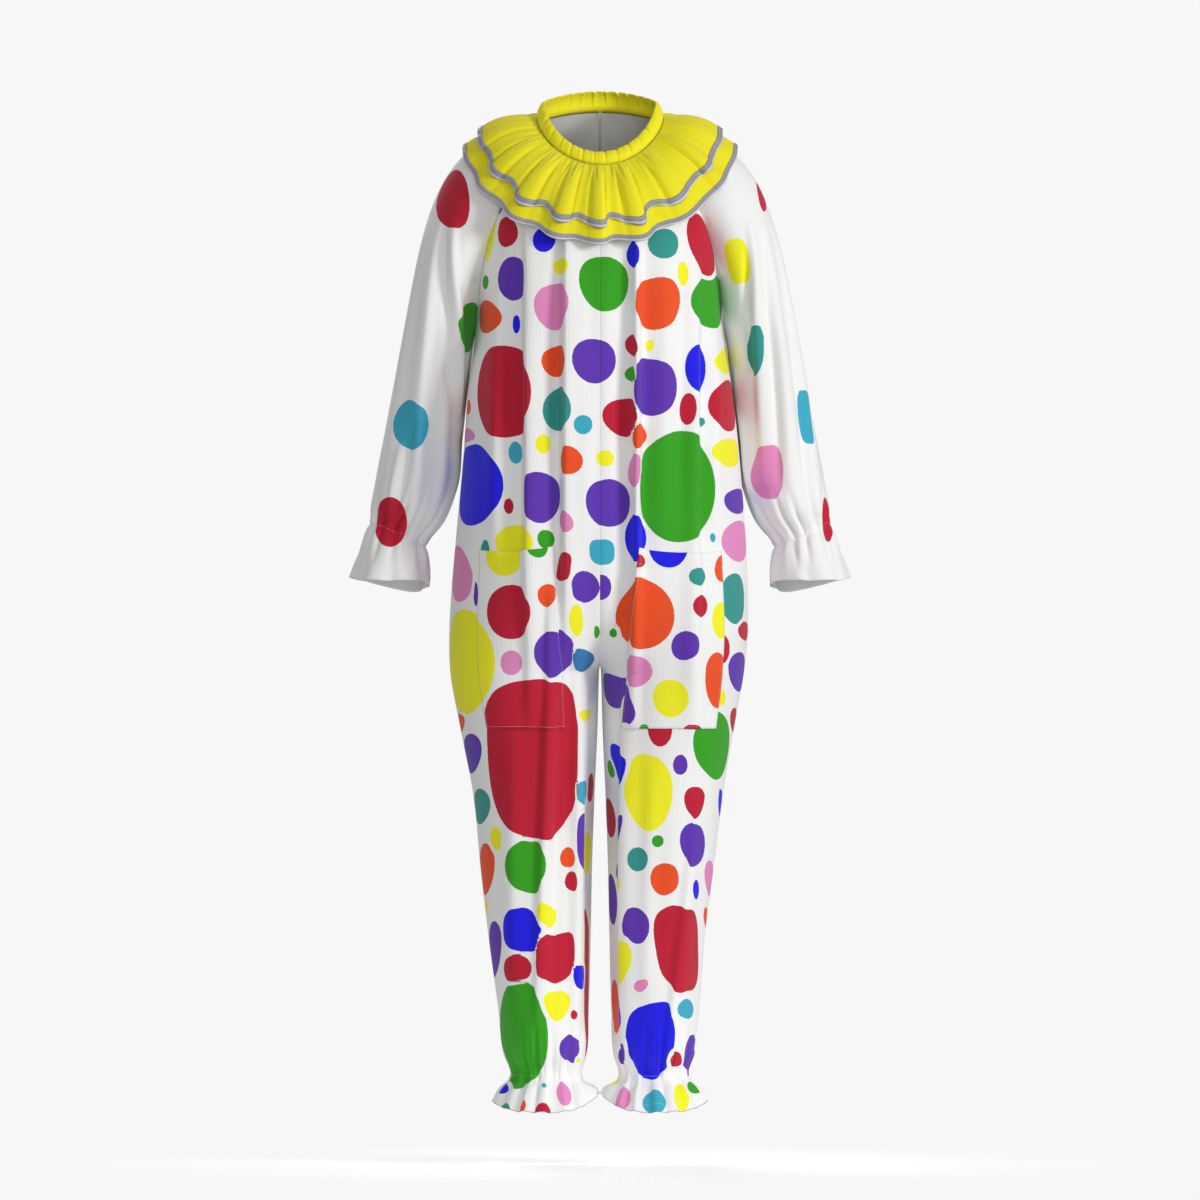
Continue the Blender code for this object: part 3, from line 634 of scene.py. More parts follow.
# The white kept between two dots, the distance that stands for far from any dot, the one given to the seam
# allowances, and the one given to a point between two dots that touch.
DOT_GAP = 0.0060
FAR = 0.1
UNPRINTED = 0.02
BARELY_OUTSIDE = 0.0004
DOT_COLOURS = {
    "red": srgb("#C11C36"), "green": srgb("#36A31E"), "blue": srgb("#1E1AE6"), "purple": srgb("#6137B2"),
    "orange": srgb("#EE5324"), "yellow": srgb("#F6F426"), "teal": srgb("#369890"), "cyan": srgb("#3EABC6"),
    "pink": srgb("#E68CC2"), "sky": srgb("#2F7DB8"),
}


def on_chart(points):
    """Where points show on the chart: x and height, spread by reach / (reach + y), in the chart's units."""
    spread = CHART_REACH / (CHART_REACH + points[..., 1]) / CHART_UNIT
    return points[..., 0] * spread, (points[..., 2] - CHART_MIDDLE) * spread


def oval_edge(across, along, half_width, half_height, squareness):
    """Distance outside an oval's edge: (k - 1) / |grad k|, where k = (|x/a|^n + |y/b|^n)^(1/n) is 1 on it."""
    x, y = np.abs(across / half_width) + 1e-6, np.abs(along / half_height) + 1e-6
    k = (x**squareness + y**squareness) ** (1 / squareness)
    steep = np.hypot((x / k) ** (squareness - 1) / half_width, (y / k) ** (squareness - 1) / half_height)
    return (k - 1) / steep


def dotted(dots, shape):
    """The distance outside the nearest dot's edge and that dot's colour, all over a grid. Each dot is
    (colour, across, along, half width, half height, squareness) on the cloth, across and along being arrays
    over the grid, measured from its middle. Where two would touch, a line of white is kept between them."""
    edge, second = np.full(shape, FAR), np.full(shape, FAR)
    colour = np.ones((*shape, 4))
    for name, across, along, *form in dots:
        distance = oval_edge(across, along, *form)
        nearer = distance < edge
        second = np.where(nearer, edge, np.minimum(second, distance))
        edge = np.where(nearer, distance, edge)
        colour[nearer] = DOT_COLOURS[name]
    return carried(np.maximum(edge, DOT_GAP / 2 - (second - edge) / 2), colour)


# A plain dot's lean and squareness, the heights below which the ankles' gathers and the parted legs start,
# how far a dot may miss the panel, how near a point counts as a gathered dot's own, and how much a dot may
# shrink, stretch and tilt on the cloth.
PLAIN_DOT = (0, 2.05)
GATHERED_BELOW, SPLIT_BELOW = -470, 40
MOST_MISS = 6
OWN_ACROSS, OWN_UP = 2, 4
LEAST_STRETCH, MOST_STRETCH, MOST_TILT = 0.8, 3.4, 0.6


def entries(chart):
    """Each dot of a chart, with the lean and the squareness of a plain dot where it gives none."""
    for colour, dots in chart.items():
        for across, up, half_width, half_height, *more in dots:
            yield colour, across, up, half_width, half_height, *more, *PLAIN_DOT[len(more) :]


def charted(chart, side, points, across, along, shown, gathered_below=GATHERED_BELOW):
    """The chart's dots on a panel, as dotted() takes them. A dot's four ends are looked up on the cloth, at
    the nearest shown point. Where the panels are sewn together a dot goes on past the centre seam, read as
    its mirror's place turned back; where the legs part each panel has its own. On gathers, below a given
    height, a dot stays as it is seen, but reaches no further back than its width. Elsewhere it is sheared on
    the cloth by as much as its ends are, so that it hangs upright."""
    chart_x, chart_z = on_chart(points)
    chart_x = np.where(shown, chart_x * side, 1e6)

    def look_up(x, z):
        nearest = np.argmin((chart_x - abs(x)) ** 2 + (chart_z - z) ** 2)
        miss = np.hypot(chart_x.flat[nearest] - abs(x), chart_z.flat[nearest] - z)
        return np.sign(x or 1) * across.flat[nearest], along.flat[nearest], miss

    for colour, x, z, half_width, half_height, slant, squareness in entries(chart):
        own = side * x
        past_seam = half_width + 2 if z > SPLIT_BELOW else 1
        if own < -past_seam or look_up(own, z)[2] > half_width + half_height + MOST_MISS:
            continue
        width, height = half_width * CHART_UNIT, half_height * CHART_UNIT
        if z < gathered_below:
            near = (np.abs(chart_x - own) < OWN_ACROSS) & (np.abs(chart_z - z) < OWN_UP)
            behind = np.maximum(points[..., 1] - points[near, 1].min(initial=0.0), 0)
            sideways = np.hypot((chart_x - own) * CHART_UNIT, behind)
            yield colour, sideways, (chart_z - z) * CHART_UNIT, width, height, squareness
            continue
        left, right = look_up(own - half_width, z), look_up(own + half_width, z)
        high, low = look_up(own, z + half_height), look_up(own, z - half_height)
        wide, tall = abs(right[0] - left[0]) / 2, abs(low[1] - high[1]) / 2
        reach_x = np.clip(wide, width * LEAST_STRETCH, width * MOST_STRETCH)
        reach_z = max(tall, height * LEAST_STRETCH)
        tilt = np.clip((right[1] - left[1]) / 2 / reach_x, -MOST_TILT, MOST_TILT)
        slant += np.clip((low[0] - high[0]) / 2 / reach_z, -MOST_TILT, MOST_TILT)
        over, down = across - (left[0] + right[0]) / 2, along - (low[1] + high[1]) / 2
        upright = 1 - slant * tilt
        over, down = (over - slant * down) / upright, (down - tilt * over) / upright
        yield colour, over, down, reach_x, reach_z, squareness


def carried(edge, colour):
    """Gives each unprinted point the colour of its deepest printed neighbour, so that no other dot's colour
    mixes in at an edge, and leaves a point unprinted where it would touch another dot's."""
    best, taken = np.minimum(edge, 0), colour.copy()
    clash = np.zeros(edge.shape, bool)
    for rows in (-1, 0, 1):
        for columns in (-1, 0, 1):
            near_edge = np.roll(edge, (rows, columns), (0, 1))
            near_colour = np.roll(colour, (rows, columns), (0, 1))
            other = np.abs(near_colour - colour).sum(axis=-1) > 0.01
            clash |= (edge < 0) & (near_edge < 0) & other & (edge > near_edge)
            take = (edge >= 0) & (near_edge < best)
            best = np.where(take, near_edge, best)
            taken[take] = near_colour[take]
    return np.where(clash, BARELY_OUTSIDE, edge), taken


print("dot colours:", ", ".join(DOT_COLOURS))

# %% [markdown]
# The backs and the sleeves' outer sides carry the same kind of print. There is nothing to chart them by, so
# dots are thrown on to the cloth from the largest to the smallest, each where it first finds room.

# %% Dots thrown at random
# Radii in metres and how many times each is tried for, and the room that is kept between two dots.
THROWN_SIZES = ((0.056, 6), (0.040, 10), (0.029, 24), (0.019, 40), (0.010, 50))
THROWN_ROOM = 0.007
THROWN_TRIES = 120
THROWN_WIDTH = 0.86


def thrown(across, along, seed, share=1.0, start=-1.0):
    """Dots of falling size over a panel's width and length, a little higher than wide, and none reaching
    below a given place across it."""
    rng = np.random.default_rng(seed)
    colours = list(DOT_COLOURS)[:-1]
    placed = []
    for size, count in THROWN_SIZES:
        for _ in range(max(1, round(count * share))):
            for _ in range(THROWN_TRIES):
                at = rng.uniform((across.min(), along.min()), (across.max(), along.max()))
                radius = size * rng.uniform(0.85, 1.15)
                if at[0] - radius < start:
                    continue
                if all(np.hypot(*(at - other)) > radius + r + THROWN_ROOM for other, r, _ in placed):
                    placed.append((at, radius, colours[rng.integers(len(colours))]))
                    break
    for at, radius, colour in placed:
        yield colour, across - at[0], along - at[1], radius * THROWN_WIDTH, radius, 2.0


print("sizes of thrown dots, mm:", [round(2000 * size) for size, _ in THROWN_SIZES])

# %% [markdown]
# ## Meshes of cloth
#
# Every piece is one layer: a grid of points becomes quads, a UV map holds metres of cloth across and along
# (so a weave keeps its size whatever the shape), and Solidify gives it the cloth's thickness about the
# middle. The dots' two facts go along as attributes.


# %% Grid to mesh
def linked(name, data):
    """A new object in the scene."""
    made = bpy.data.objects.new(name, data)
    bpy.context.scene.collection.objects.link(made)
    return made


def cloth(name, points, wall, looks, uv, closed=False, flip=False, edge=None, colour=None):
    """A grid of points as a layer of cloth. uv is (across, along) in metres for each point, and closed joins
    the last column to the first. flip turns the faces where the columns run the other way round."""

    def at_corners(grid):
        corners = (grid[:-1, :-1], grid[1:, :-1], grid[1:, 1:], grid[:-1, 1:])
        return np.stack(corners[::-1] if flip else corners, axis=2)

    rows, columns = points.shape[:2]
    index = np.arange(rows * columns).reshape(rows, columns)
    across, along = uv
    if closed:
        step = across[:, -1:] + np.linalg.norm(points[:, :1] - points[:, -1:], axis=-1)
        across, along = np.concatenate([across, step], axis=1), np.concatenate([along, along[:, :1]], axis=1)
        index = np.concatenate([index, index[:, :1]], axis=1)
    faces = at_corners(index).reshape(-1, 4)
    places = at_corners(np.stack([across, along], axis=-1)).astype(np.float32)
    mesh = bpy.data.meshes.new(name)
    mesh.vertices.add(rows * columns)
    mesh.vertices.foreach_set("co", points.reshape(-1))
    mesh.loops.add(faces.size)
    mesh.loops.foreach_set("vertex_index", faces.reshape(-1))
    mesh.polygons.add(len(faces))
    mesh.polygons.foreach_set("loop_start", np.arange(len(faces)) * 4)
    mesh.polygons.foreach_set("loop_total", np.full(len(faces), 4))
    mesh.update(calc_edges=True)
    mesh.uv_layers.new(name="ClothMap").data.foreach_set("uv", places.reshape(-1))
    if edge is not None:
        for fact, kind, socket, values in (
            ("dot_edge", "FLOAT", "value", edge),
            ("dot_colour", "FLOAT_COLOR", "color", colour),
        ):
            made = mesh.attributes.new(fact, kind, "POINT")
            made.data.foreach_set(socket, values.astype(np.float32).reshape(-1))
    for look in looks:
        mesh.materials.append(look)
    mesh.shade_smooth()
    piece = linked(name, mesh)
    layer = piece.modifiers.new("Cloth thickness", "SOLIDIFY")
    layer.thickness = wall
    layer.offset = 0
    if len(looks) > 1:
        layer.material_offset = 1
    return piece


def seat(piece, node):
    """The piece rides on the costume's one body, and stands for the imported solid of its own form."""
    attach(piece, "root")
    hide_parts(node)
    return piece


# %% [markdown]
# ## Materials
#
# Three cloths and a thread. One function adds a node with its settings and links; the rest are short chains
# of such nodes that several materials share. What is the same all over is set on the shader's own sockets.


# %% One way to add a node
def add(tree, kind, settings=None, **links):
    """Adds a node. settings are its properties, or its inputs' values by name or number; links join an
    input (in0 is number 0, or its name with _ for a space) to another node's output."""
    node = tree.nodes.new(kind)
    for key, value in (settings or {}).items():
        if isinstance(key, str) and key not in node.inputs:
            setattr(node, key, value)
        else:
            node.inputs[key].default_value = value
    for key, output in links.items():
        target = int(key[2:]) if key.startswith("in") and key[2:].isdigit() else key.replace("_", " ")
        tree.links.new(output, node.inputs[target])
    return node


def begin(name, settings):
    """An empty material with a Principled shader, and its node tree."""
    made = bpy.data.materials.new(name)
    made.use_nodes = True
    tree = made.node_tree
    tree.nodes.clear()
    shader = add(tree, "ShaderNodeBsdfPrincipled", settings)
    add(tree, "ShaderNodeOutputMaterial", None, Surface=shader.outputs["BSDF"])
    return made, tree, shader


# %% Chains of nodes that the cloths share
# A wave node's bands lie about 1 / (3.14 scale) apart.
WAVE_UNIT = 3.1416


def fabric(name, roughness, sheen, gloss, bloom=0.5):
    """A cloth's shader: its roughness, the strength and the width of its bloom at grazing angles, its gloss."""
    sockets = {"Sheen Weight": sheen, "Sheen Roughness": bloom, "IOR": 1.46, "Specular IOR Level": gloss}
    return begin(name, {"Roughness": roughness, **sockets})


def maths(tree, operation, value, settings=None, **links):
    """One sum on a value, whose other numbers are settings or links."""
    settings = {"operation": operation, **(settings or {})}
    return add(tree, "ShaderNodeMath", settings, in0=value, **links).outputs[0]


def falling(tree, value, start, end):
    """1 where the value is below start, and 0 where it is above end."""
    ends = {"From Min": start, "From Max": end, "To Min": 1.0, "To Max": 0.0}
    return add(tree, "ShaderNodeMapRange", ends, Value=value).outputs[0]


def cloth_map(tree):
    """The metres of cloth across and along a piece."""
    return add(tree, "ShaderNodeUVMap", {"uv_map": "ClothMap"}).outputs["UV"]


def bands(tree, direction, pitch, distortion, detail=2.0):
    """Bands across the cloth's own map."""
    shape = {"wave_type": "BANDS", "bands_direction": direction, "Scale": 1 / pitch / WAVE_UNIT}
    rest = {"Distortion": distortion, "Detail": detail}
    return add(tree, "ShaderNodeTexWave", {**shape, **rest}, Vector=cloth_map(tree)).outputs["Fac"]


def noise(tree, scale, detail=2.0):
    """A noise that is fixed to the piece, with so many grains to the metre."""
    place = add(tree, "ShaderNodeTexCoord").outputs["Object"]
    return add(tree, "ShaderNodeTexNoise", {"Scale": scale, "Detail": detail}, Vector=place).outputs["Fac"]


def tint(tree, share, first, second):
    """From the first colour to the second, as a share goes from 0 to 1."""
    return add(tree, "ShaderNodeMix", {"data_type": "RGBA", 6: first, 7: second}, in0=share).outputs[2]


def finish(tree, shader, colour, relief, strength, distance):
    """Joins a colour to the shader, and a relief as a bump so many metres high."""
    bump = add(tree, "ShaderNodeBump", {"Strength": strength, "Distance": distance}, Height=relief)
    tree.links.new(colour, shader.inputs["Base Color"])
    tree.links.new(bump.outputs["Normal"], shader.inputs["Normal"])


# %% [markdown]
# The jumpsuit is printed polyester jersey, knitted on a machine and heat-pressed with the dots. Light
# scatters softly in it, with a faint bloom at grazing angles (sheen). Its wales are about 0.7 mm apart, too
# fine to show, so they are drawn at 4 mm, as faint upright ribs in the bump, with their grooves painted a
# little darker as painted shade. The ink lies in the yarn: a dot has the same dullness as the white, and an
# edge that is ragged by half a millimetre.

# %% Printed jersey
RIB_PITCH = 0.0042
KNIT_NOISE = 900.0
THREAD_NOISE = 3000.0
INK_NOISE = 420.0
RAGGED = 0.0006
INK_BLUR = 0.0003
# The first white, a little darker, is painted shade in the ribs' grooves; the second lies on the ribs.
GROOVE_SHADE_AND_WHITE = (srgb("#F2F2F1"), srgb("#FAFAF9"))


def jersey(name, rib, bump_height):
    """White, and inked where dot_edge is below zero. rib is how clearly the ribs show, in the bump and as
    painted shade in their grooves.
    """
    made, tree, shader = fabric(name, 0.82, 0.12, 0.25)
    edge = add(tree, "ShaderNodeAttribute", {"attribute_name": "dot_edge"}).outputs["Fac"]
    ink = add(tree, "ShaderNodeAttribute", {"attribute_name": "dot_colour"}).outputs["Color"]
    wander = maths(tree, "MULTIPLY_ADD", noise(tree, INK_NOISE, 1.0), {1: 2 * RAGGED, 2: -RAGGED})
    inked = falling(tree, maths(tree, "ADD", edge, in1=wander), -INK_BLUR, INK_BLUR)
    rib_height_and_shade = maths(tree, "MULTIPLY", bands(tree, "X", RIB_PITCH, 0.4, 1.0), {1: rib})
    # Painted shade: the ribs' grooves take the darker white, and the same bands raise the bump.
    white = tint(tree, rib_height_and_shade, *GROOVE_SHADE_AND_WHITE)
    printed = add(tree, "ShaderNodeMix", {"data_type": "RGBA"}, in0=inked, in6=white, in7=ink).outputs[2]
    relief = maths(tree, "MULTIPLY_ADD", noise(tree, KNIT_NOISE), {1: 0.5}, in2=rib_height_and_shade)
    finish(tree, shader, printed, relief, 0.5, bump_height)
    return made


def plain(name, hex_colour, roughness, noise_scale, bump_height):
    """A cloth or thread of one colour, with a fine fuzz in its relief. Its tone varies with the fuzz, and
    where the fuzz lies low it is painted 7 percent darker, as painted shade."""
    made, tree, shader = fabric(name, roughness, 0.1, 0.25)
    fuzz, light = noise(tree, noise_scale), srgb(hex_colour)
    # dark is painted shade: the colour 7 percent darker, given where the fuzz lies low.
    dark = (*(0.93 * c for c in light[:3]), 1.0)
    finish(tree, shader, tint(tree, fuzz, dark, light), fuzz, 0.5, bump_height)
    return made


body_jersey = jersey("Printed polyester jersey, ribbed", 0.6, 0.0004)
sleeve_jersey = jersey("Printed polyester jersey, smooth", 0.0, 0.0003)
reverse = plain("Unprinted reverse of the jersey", "#F2F2F1", 0.85, KNIT_NOISE, 0.0004)
white_thread = plain("White spun polyester thread", "#F4F4F2", 0.7, THREAD_NOISE, 0.0002)
grey_thread = plain("Grey overlock thread", "#8F8F96", 0.7, THREAD_NOISE, 0.0002)
yellow_thread = plain("Yellow spun polyester thread", "#E3DA1C", 0.7, THREAD_NOISE, 0.0002)
print("jersey ribs every", RIB_PITCH * 1000, "mm")

# %% [markdown]
# The collar is plain-woven polyester, dyed yellow: crisper than the jersey, so its waves are sharper. Its
# threads are 0.35 mm apart and are drawn at 1.6 mm, crossed, as a faint mottle in the bump, with painted
# shade, a darker yellow, where they lie low. The binding is satin bias tape, folded over the hem. Satin is
# smooth along its floats, so it shines more than the other cloths, and where it turns round the hem it
# catches the light as a pale line, which is a painted highlight.

# %% Woven collar cloth and satin binding
THREAD_PITCH = 0.0016
BINDING_WIDTH = 0.008
BINDING_WIDTHS = {"upper": BINDING_WIDTH, "lower": 0.0062}
# The pale line is a painted highlight. It lies half way round the fold, and fades out between two
# distances from its middle.
FOLD_MIDDLE = BINDING_WIDTH + 0.0012
PAINTED_HIGHLIGHT_FADE = (0.0009, 0.0015)


def woven_yellow():
    made, tree, shader = fabric("Plain-woven polyester, dyed yellow", 0.72, 0.10, 0.3)
    warp, weft = (bands(tree, way, THREAD_PITCH, 1.2) for way in ("X", "Y"))
    weave = maths(tree, "MULTIPLY", warp, in1=weft)
    # Painted shade: where the crossed threads lie low the yellow is the darker #F7EC15, where they stand
    # #FDF52D.
    finish(tree, shader, tint(tree, weave, srgb("#F7EC15"), srgb("#FDF52D")), weave, 0.5, 0.0005)
    return made


def satin_grey():
    made, tree, shader = fabric("Satin bias tape, grey", 0.42, 0.15, 0.45, bloom=0.4)
    down = add(tree, "ShaderNodeSeparateXYZ", None, Vector=cloth_map(tree)).outputs["Y"]
    away = maths(tree, "ABSOLUTE", maths(tree, "SUBTRACT", down, {1: FOLD_MIDDLE}))
    # Painted highlight: the pale #D6D4DC over the tape's grey, in a line where it turns round the hem.
    colour = tint(tree, falling(tree, away, *PAINTED_HIGHLIGHT_FADE), srgb("#97969F"), srgb("#D6D4DC"))
    finish(tree, shader, colour, bands(tree, "DIAGONAL", THREAD_PITCH, 0.5), 0.35, 0.0003)
    return made


yellow_weave = woven_yellow()
grey_satin = satin_grey()
print("collar threads every", THREAD_PITCH * 1000, "mm")

# %% [markdown]
# ## The body panels
#
# Two fronts and two backs, each cut in one from the neck to the ankle. At the seams a panel's edge turns in
# a little, which shows as a soft groove. The raglan seams run from the neck to the armpits.

# %% Rows and columns of the panels
BODY_GRID = {"front": 116, "back": 84}


def rows_of(runs):
    """Row numbers in runs of (start, end, count), the next starting where one ends."""
    numbers = [np.linspace(start, end, count, endpoint=False) for start, end, count in runs]
    return np.concatenate([*numbers, [runs[-1][1]]])[:, None]


def level_row(level):
    return 1 + (ARMPIT_LEVEL - level) / (ARMPIT_LEVEL - HEM_LEVEL)


def panel_runs(yoke, trunk, legs, feet):
    """A panel's runs of rows: ten at the neck, and so many in each part below. The legs start just parted."""
    crotch, parted, shin = (level_row(level) for level in (CROTCH_LEVEL, CROTCH_LEVEL - PARTING, SHIN_LEVEL))
    return (0, 0.3, 10), (0.3, 1, yoke), (1, crotch, trunk), (parted, shin, legs), (shin, 2, feet)


PANEL_RUNS = {"front": panel_runs(46, 110, 84, 52), "back": panel_runs(34, 80, 64, 46)}
print("rows in a front:", len(rows_of(PANEL_RUNS["front"])))

# %% [markdown]
# Two panels that are sewn together must meet along one line, close the seam behind it and never cut into
# each other. So the raglan edges are pulled on to the line halfway between them, edges on a straight seam are
# kept half a gap from its plane, and a narrow allowance turns in along every edge.

# %% Seams
# A hair's clearance, a groove's depth and reach, the smoothing at the armpits, the pull towards a sewn line
# and the row where it has died, and how deep and how far back the two columns of an allowance lie.
HAIR = 0.00005
GROOVE_DEPTH, GROOVE_REACH = 0.0005, 0.005
SMOOTH_REACH, SMOOTH_PASSES = 0.16, 60
SEAM_PULL, ARMPIT_FADE = 0.018, 1.09
ALLOWANCE_DEPTHS, ALLOWANCE_LEAN = (0.0014, 0.0060), 0.0008
# Next to the neck's edge an allowance has this share of its depth, and all of it from 20 mm down.
SHORTEST_ALLOWANCE, ALLOWANCE_GROWS = 0.15, (0.004, 0.020)
# The centre seam's groove starts this far under the neck, clear of the casing.
GROOVE_TOP = -0.020


def beside(edge):
    """The column next to an edge column."""
    return 1 if edge == 0 else edge - 1


def part_from_plane(points, out, edge, axis, rows):
    """Moves an edge column clear of the seam's plane, by half the wall's slanted thickness and half a gap."""
    place = points[rows, edge, axis]
    clear = SEAM_GAP / 2 + BODY_WALL / 2 * np.abs(out[rows, edge, axis]) + HAIR
    points[rows, edge, axis] = np.sign(points[rows, beside(edge), axis]) * np.maximum(np.abs(place), clear)


def seam_groove(distance):
    """How far the cloth turns in beside a seam: most at the seam, dying like a bell."""
    return -GROOVE_DEPTH * np.exp(-((distance / GROOVE_REACH) ** 2))


def smoothed(points, rows):
    """Rounds the bend at the armpit's level, where the yoke meets the tube, by evening neighbouring rows."""
    weight = 0.5 * np.exp(-(((rows - 1) / SMOOTH_REACH) ** 2))[1:-1, None, None]
    for _ in range(SMOOTH_PASSES):
        points[1:-1] += weight * ((points[:-2] + points[2:]) / 2 - points[1:-1])
    return points


def raglan_line(side, face, rows):
    """The sewn line halfway between a body panel's edge and the sleeve's, on the rows down to the armpit."""
    row = np.minimum(rows, 1.0)
    own = body_panel(side, face, np.ones((1, 1)), row)
    other = sleeve_panel(side, np.full((1, 1), 0.0 if face < 0 else 1.0), row)
    return (own[:, 0] + other[:, 0]) / 2


def sewn(points, edge, line, rows):
    """Pulls a grid's edge column to a gap from a sewn line, and the cloth beside it by less and less. Below
    the armpit the pull dies away."""
    way = unit(points[:, beside(edge)] - points[:, edge])
    fade = 1 - ease(rows, 1, ARMPIT_FADE)
    pull = (line + way * SEAM_GAP - points[:, edge]) * fade
    reach = np.linalg.norm(points - points[:, [edge]], axis=-1)
    points += np.exp(-((reach / SEAM_PULL) ** 2))[..., None] * pull[:, None]


def turned_in(points, out, *values):
    """Adds the seam allowances: two columns at either edge that turn into the garment, so that a seam is
    closed behind. Each leans back by more than half a wall, clear of the other piece's."""
    sides = []
    grown = ease(lengths(points, 0)[:, [0, -1]], *ALLOWANCE_GROWS)
    short = SHORTEST_ALLOWANCE + (1 - SHORTEST_ALLOWANCE) * grown
    for edge in (0, -1):
        way = unit(points[:, beside(edge)] - points[:, edge])
        turn = out[:, edge] * short[:, [edge]]
        sides.append([points[:, edge] + way * ALLOWANCE_LEAN - turn * depth for depth in ALLOWANCE_DEPTHS])
    (near, far), (near_end, far_end) = sides
    wide = np.concatenate([far[:, None], near[:, None], points, near_end[:, None], far_end[:, None]], axis=1)
    return wide, *(np.concatenate([value[:, [0, 0]], value, value[:, [-1, -1]]], axis=1) for value in values)


def across_panel(points, hidden, middle_column):
    """Metres of cloth from the centre seam down to the rise. Below it the seam curves under, so the cloth is
    measured from the panel's middle, which keeps the distance that it had at the rise."""
    reach = lengths(points, 1) + hidden
    middle = reach[:, middle_column]
    high = points[:, 0, 2] > RISE_LEVEL
    kept = np.where(high, middle, middle[high][-1])
    return reach + (kept - middle)[:, None]


def body_cloth(side_name, face_name):
    """Points of a panel with its folds, its normals, and the metres of cloth across and along it."""
    side, face = SIDES[side_name], FACES[face_name]
    rows = rows_of(PANEL_RUNS[face_name])
    last = BODY_GRID[face_name]
    u = np.linspace(0, 1, last + 1)[None, :]
    points = smoothed(body_panel(side, face, u, rows), rows[:, 0])
    out = normals(points) * -side * face
    height, hidden = body_folds(f"{face_name}_{side_name}", side, u, rows, points)
    reach = lengths(points, 1)
    height += seam_groove(reach) * (points[:, :1, 2] < GROOVE_TOP) + seam_groove(reach[:, -1:] - reach)
    points += out * height[..., None]
    sewn(points, last, raglan_line(side, face, rows), rows)
    out = normals(points) * -side * face
    level = points[:, -1, 2]
    upper = level > CROTCH_LEVEL + LEVEL_SLACK
    part_from_plane(points, out, 0, 0, upper)
    part_from_plane(points, out, 0, 1, ~upper)
    part_from_plane(points, out, last, 1, level < ARMPIT_LEVEL + LEVEL_SLACK)
    return points, out, across_panel(points, hidden, (last + 1) // 2), lengths(points, 0)


def panel(name, slot, look, flip, points, out, across, along, edge, colour):
    """A printed panel with its seam allowances, which carry no dots, on the solid of its name."""
    wide, *maps, edge, colour = turned_in(points, out, across, along, edge, colour)
    edge[:, [0, 1, -2, -1]] = UNPRINTED
    piece = cloth(f"{name}_cloth", wide, BODY_WALL, (look, reverse), maps, flip=flip, edge=edge, colour=colour)
    print(f"{name}: {len(piece.data.polygons)} quads, {across.max():.3f} by {along.max():.3f} m of cloth")
    return seat(piece, name), points, out


# %% Make the panels
# A point is charted if its normal turns back from the front by less than this.
TURNED_AWAY = 0.2

panels = {}
for side_name, side in SIDES.items():
    for face_name, face in FACES.items():
        name = f"{face_name}_{side_name}"
        points, out, *metres = body_cloth(side_name, face_name)
        if face_name == "front":
            dots = charted(FRONT_DOTS, side, points, *metres, out[..., 1] < TURNED_AWAY)
        else:
            dots = thrown(*metres, seed=21 + side)
        look = dotted(dots, metres[0].shape)
        panels[name] = panel(name, "dotted_knit", body_jersey, side * face > 0, points, out, *metres, *look)

# %% [markdown]
# ## The sleeves
#
# A raglan sleeve is one panel that runs up to the neck, so its seams slope from the neck to the armpit. It
# is wide, and gathered by elastic above a cuff that flares.

# %% Make the sleeves
SLEEVE_GRID = 128
SLEEVE_RUNS = ((0, 0.3, 8), (0.3, 1, 40), (1, 1.6, 54), (1.6, 2, 56))
# How much shorter the cuff's front is cut, over which turns, and from which row down.
CUFF_CUT = 0.021
CUFF_SPAN = (-0.18, 0.06, 0.08, 0.42)
CUFF_ROW = 1.86
# The wrist's dots lie below this height on the chart. The back has this share of the thrown dots, which keep
# this far behind the outer side.
WRIST_BELOW_UP = 100
SLEEVE_SHARE = 0.16
SLEEVE_BEHIND = 0.03


def shortened(values, reach, turn, rows):
    """The cuff's front is cut shorter than its back, most of all beside the inner seam, so that its hem hangs
    level in front and shows the inside of the back. Each column is read again at a smaller length."""
    place = np.where(turn < 0.5, turn, turn - 1)
    cut = CUFF_CUT * between(place, *CUFF_SPAN)
    index = np.arange(len(rows))[:, None] - cut * ease(rows, CUFF_ROW, 2) / np.gradient(reach, axis=0)
    low = np.clip(np.floor(index).astype(int), 0, len(rows) - 2)
    share = (index - low)[..., None]
    column = np.arange(turn.size)[None, :]
    return values[low, column] * (1 - share) + values[low + 1, column] * share


def sleeve_cloth(side_name):
    """Points of a sleeve with its folds, its normals, and the metres of cloth round and down it."""
    side = SIDES[side_name]
    rows = rows_of(SLEEVE_RUNS)
    turn = np.linspace(0, 1, SLEEVE_GRID + 1)[None, :]
    points = smoothed(sleeve_panel(side, turn, rows), rows[:, 0])
    out = normals(points) * side
    reach = lengths(points, 1)
    groove = seam_groove(reach) + seam_groove(reach[:, -1:] - reach)
    points += out * (sleeve_folds(side_name, turn, rows) + groove)[..., None]
    for edge, face in ((0, -1), (SLEEVE_GRID, 1)):
        sewn(points, edge, raglan_line(side, face, rows), rows)
    out = normals(points) * side
    middle = smooth(rows, SLEEVE["share"], SLEEVE["middle_y"])
    points[..., 1] -= middle
    for edge in (0, SLEEVE_GRID):
        part_from_plane(points, out, edge, 1, rows[:, 0] >= 1)
    points[..., 1] += middle
    points, out = (shortened(values, lengths(points, 0), turn, rows) for values in (points, out))
    return points, out, lengths(points, 1), lengths(points, 0)


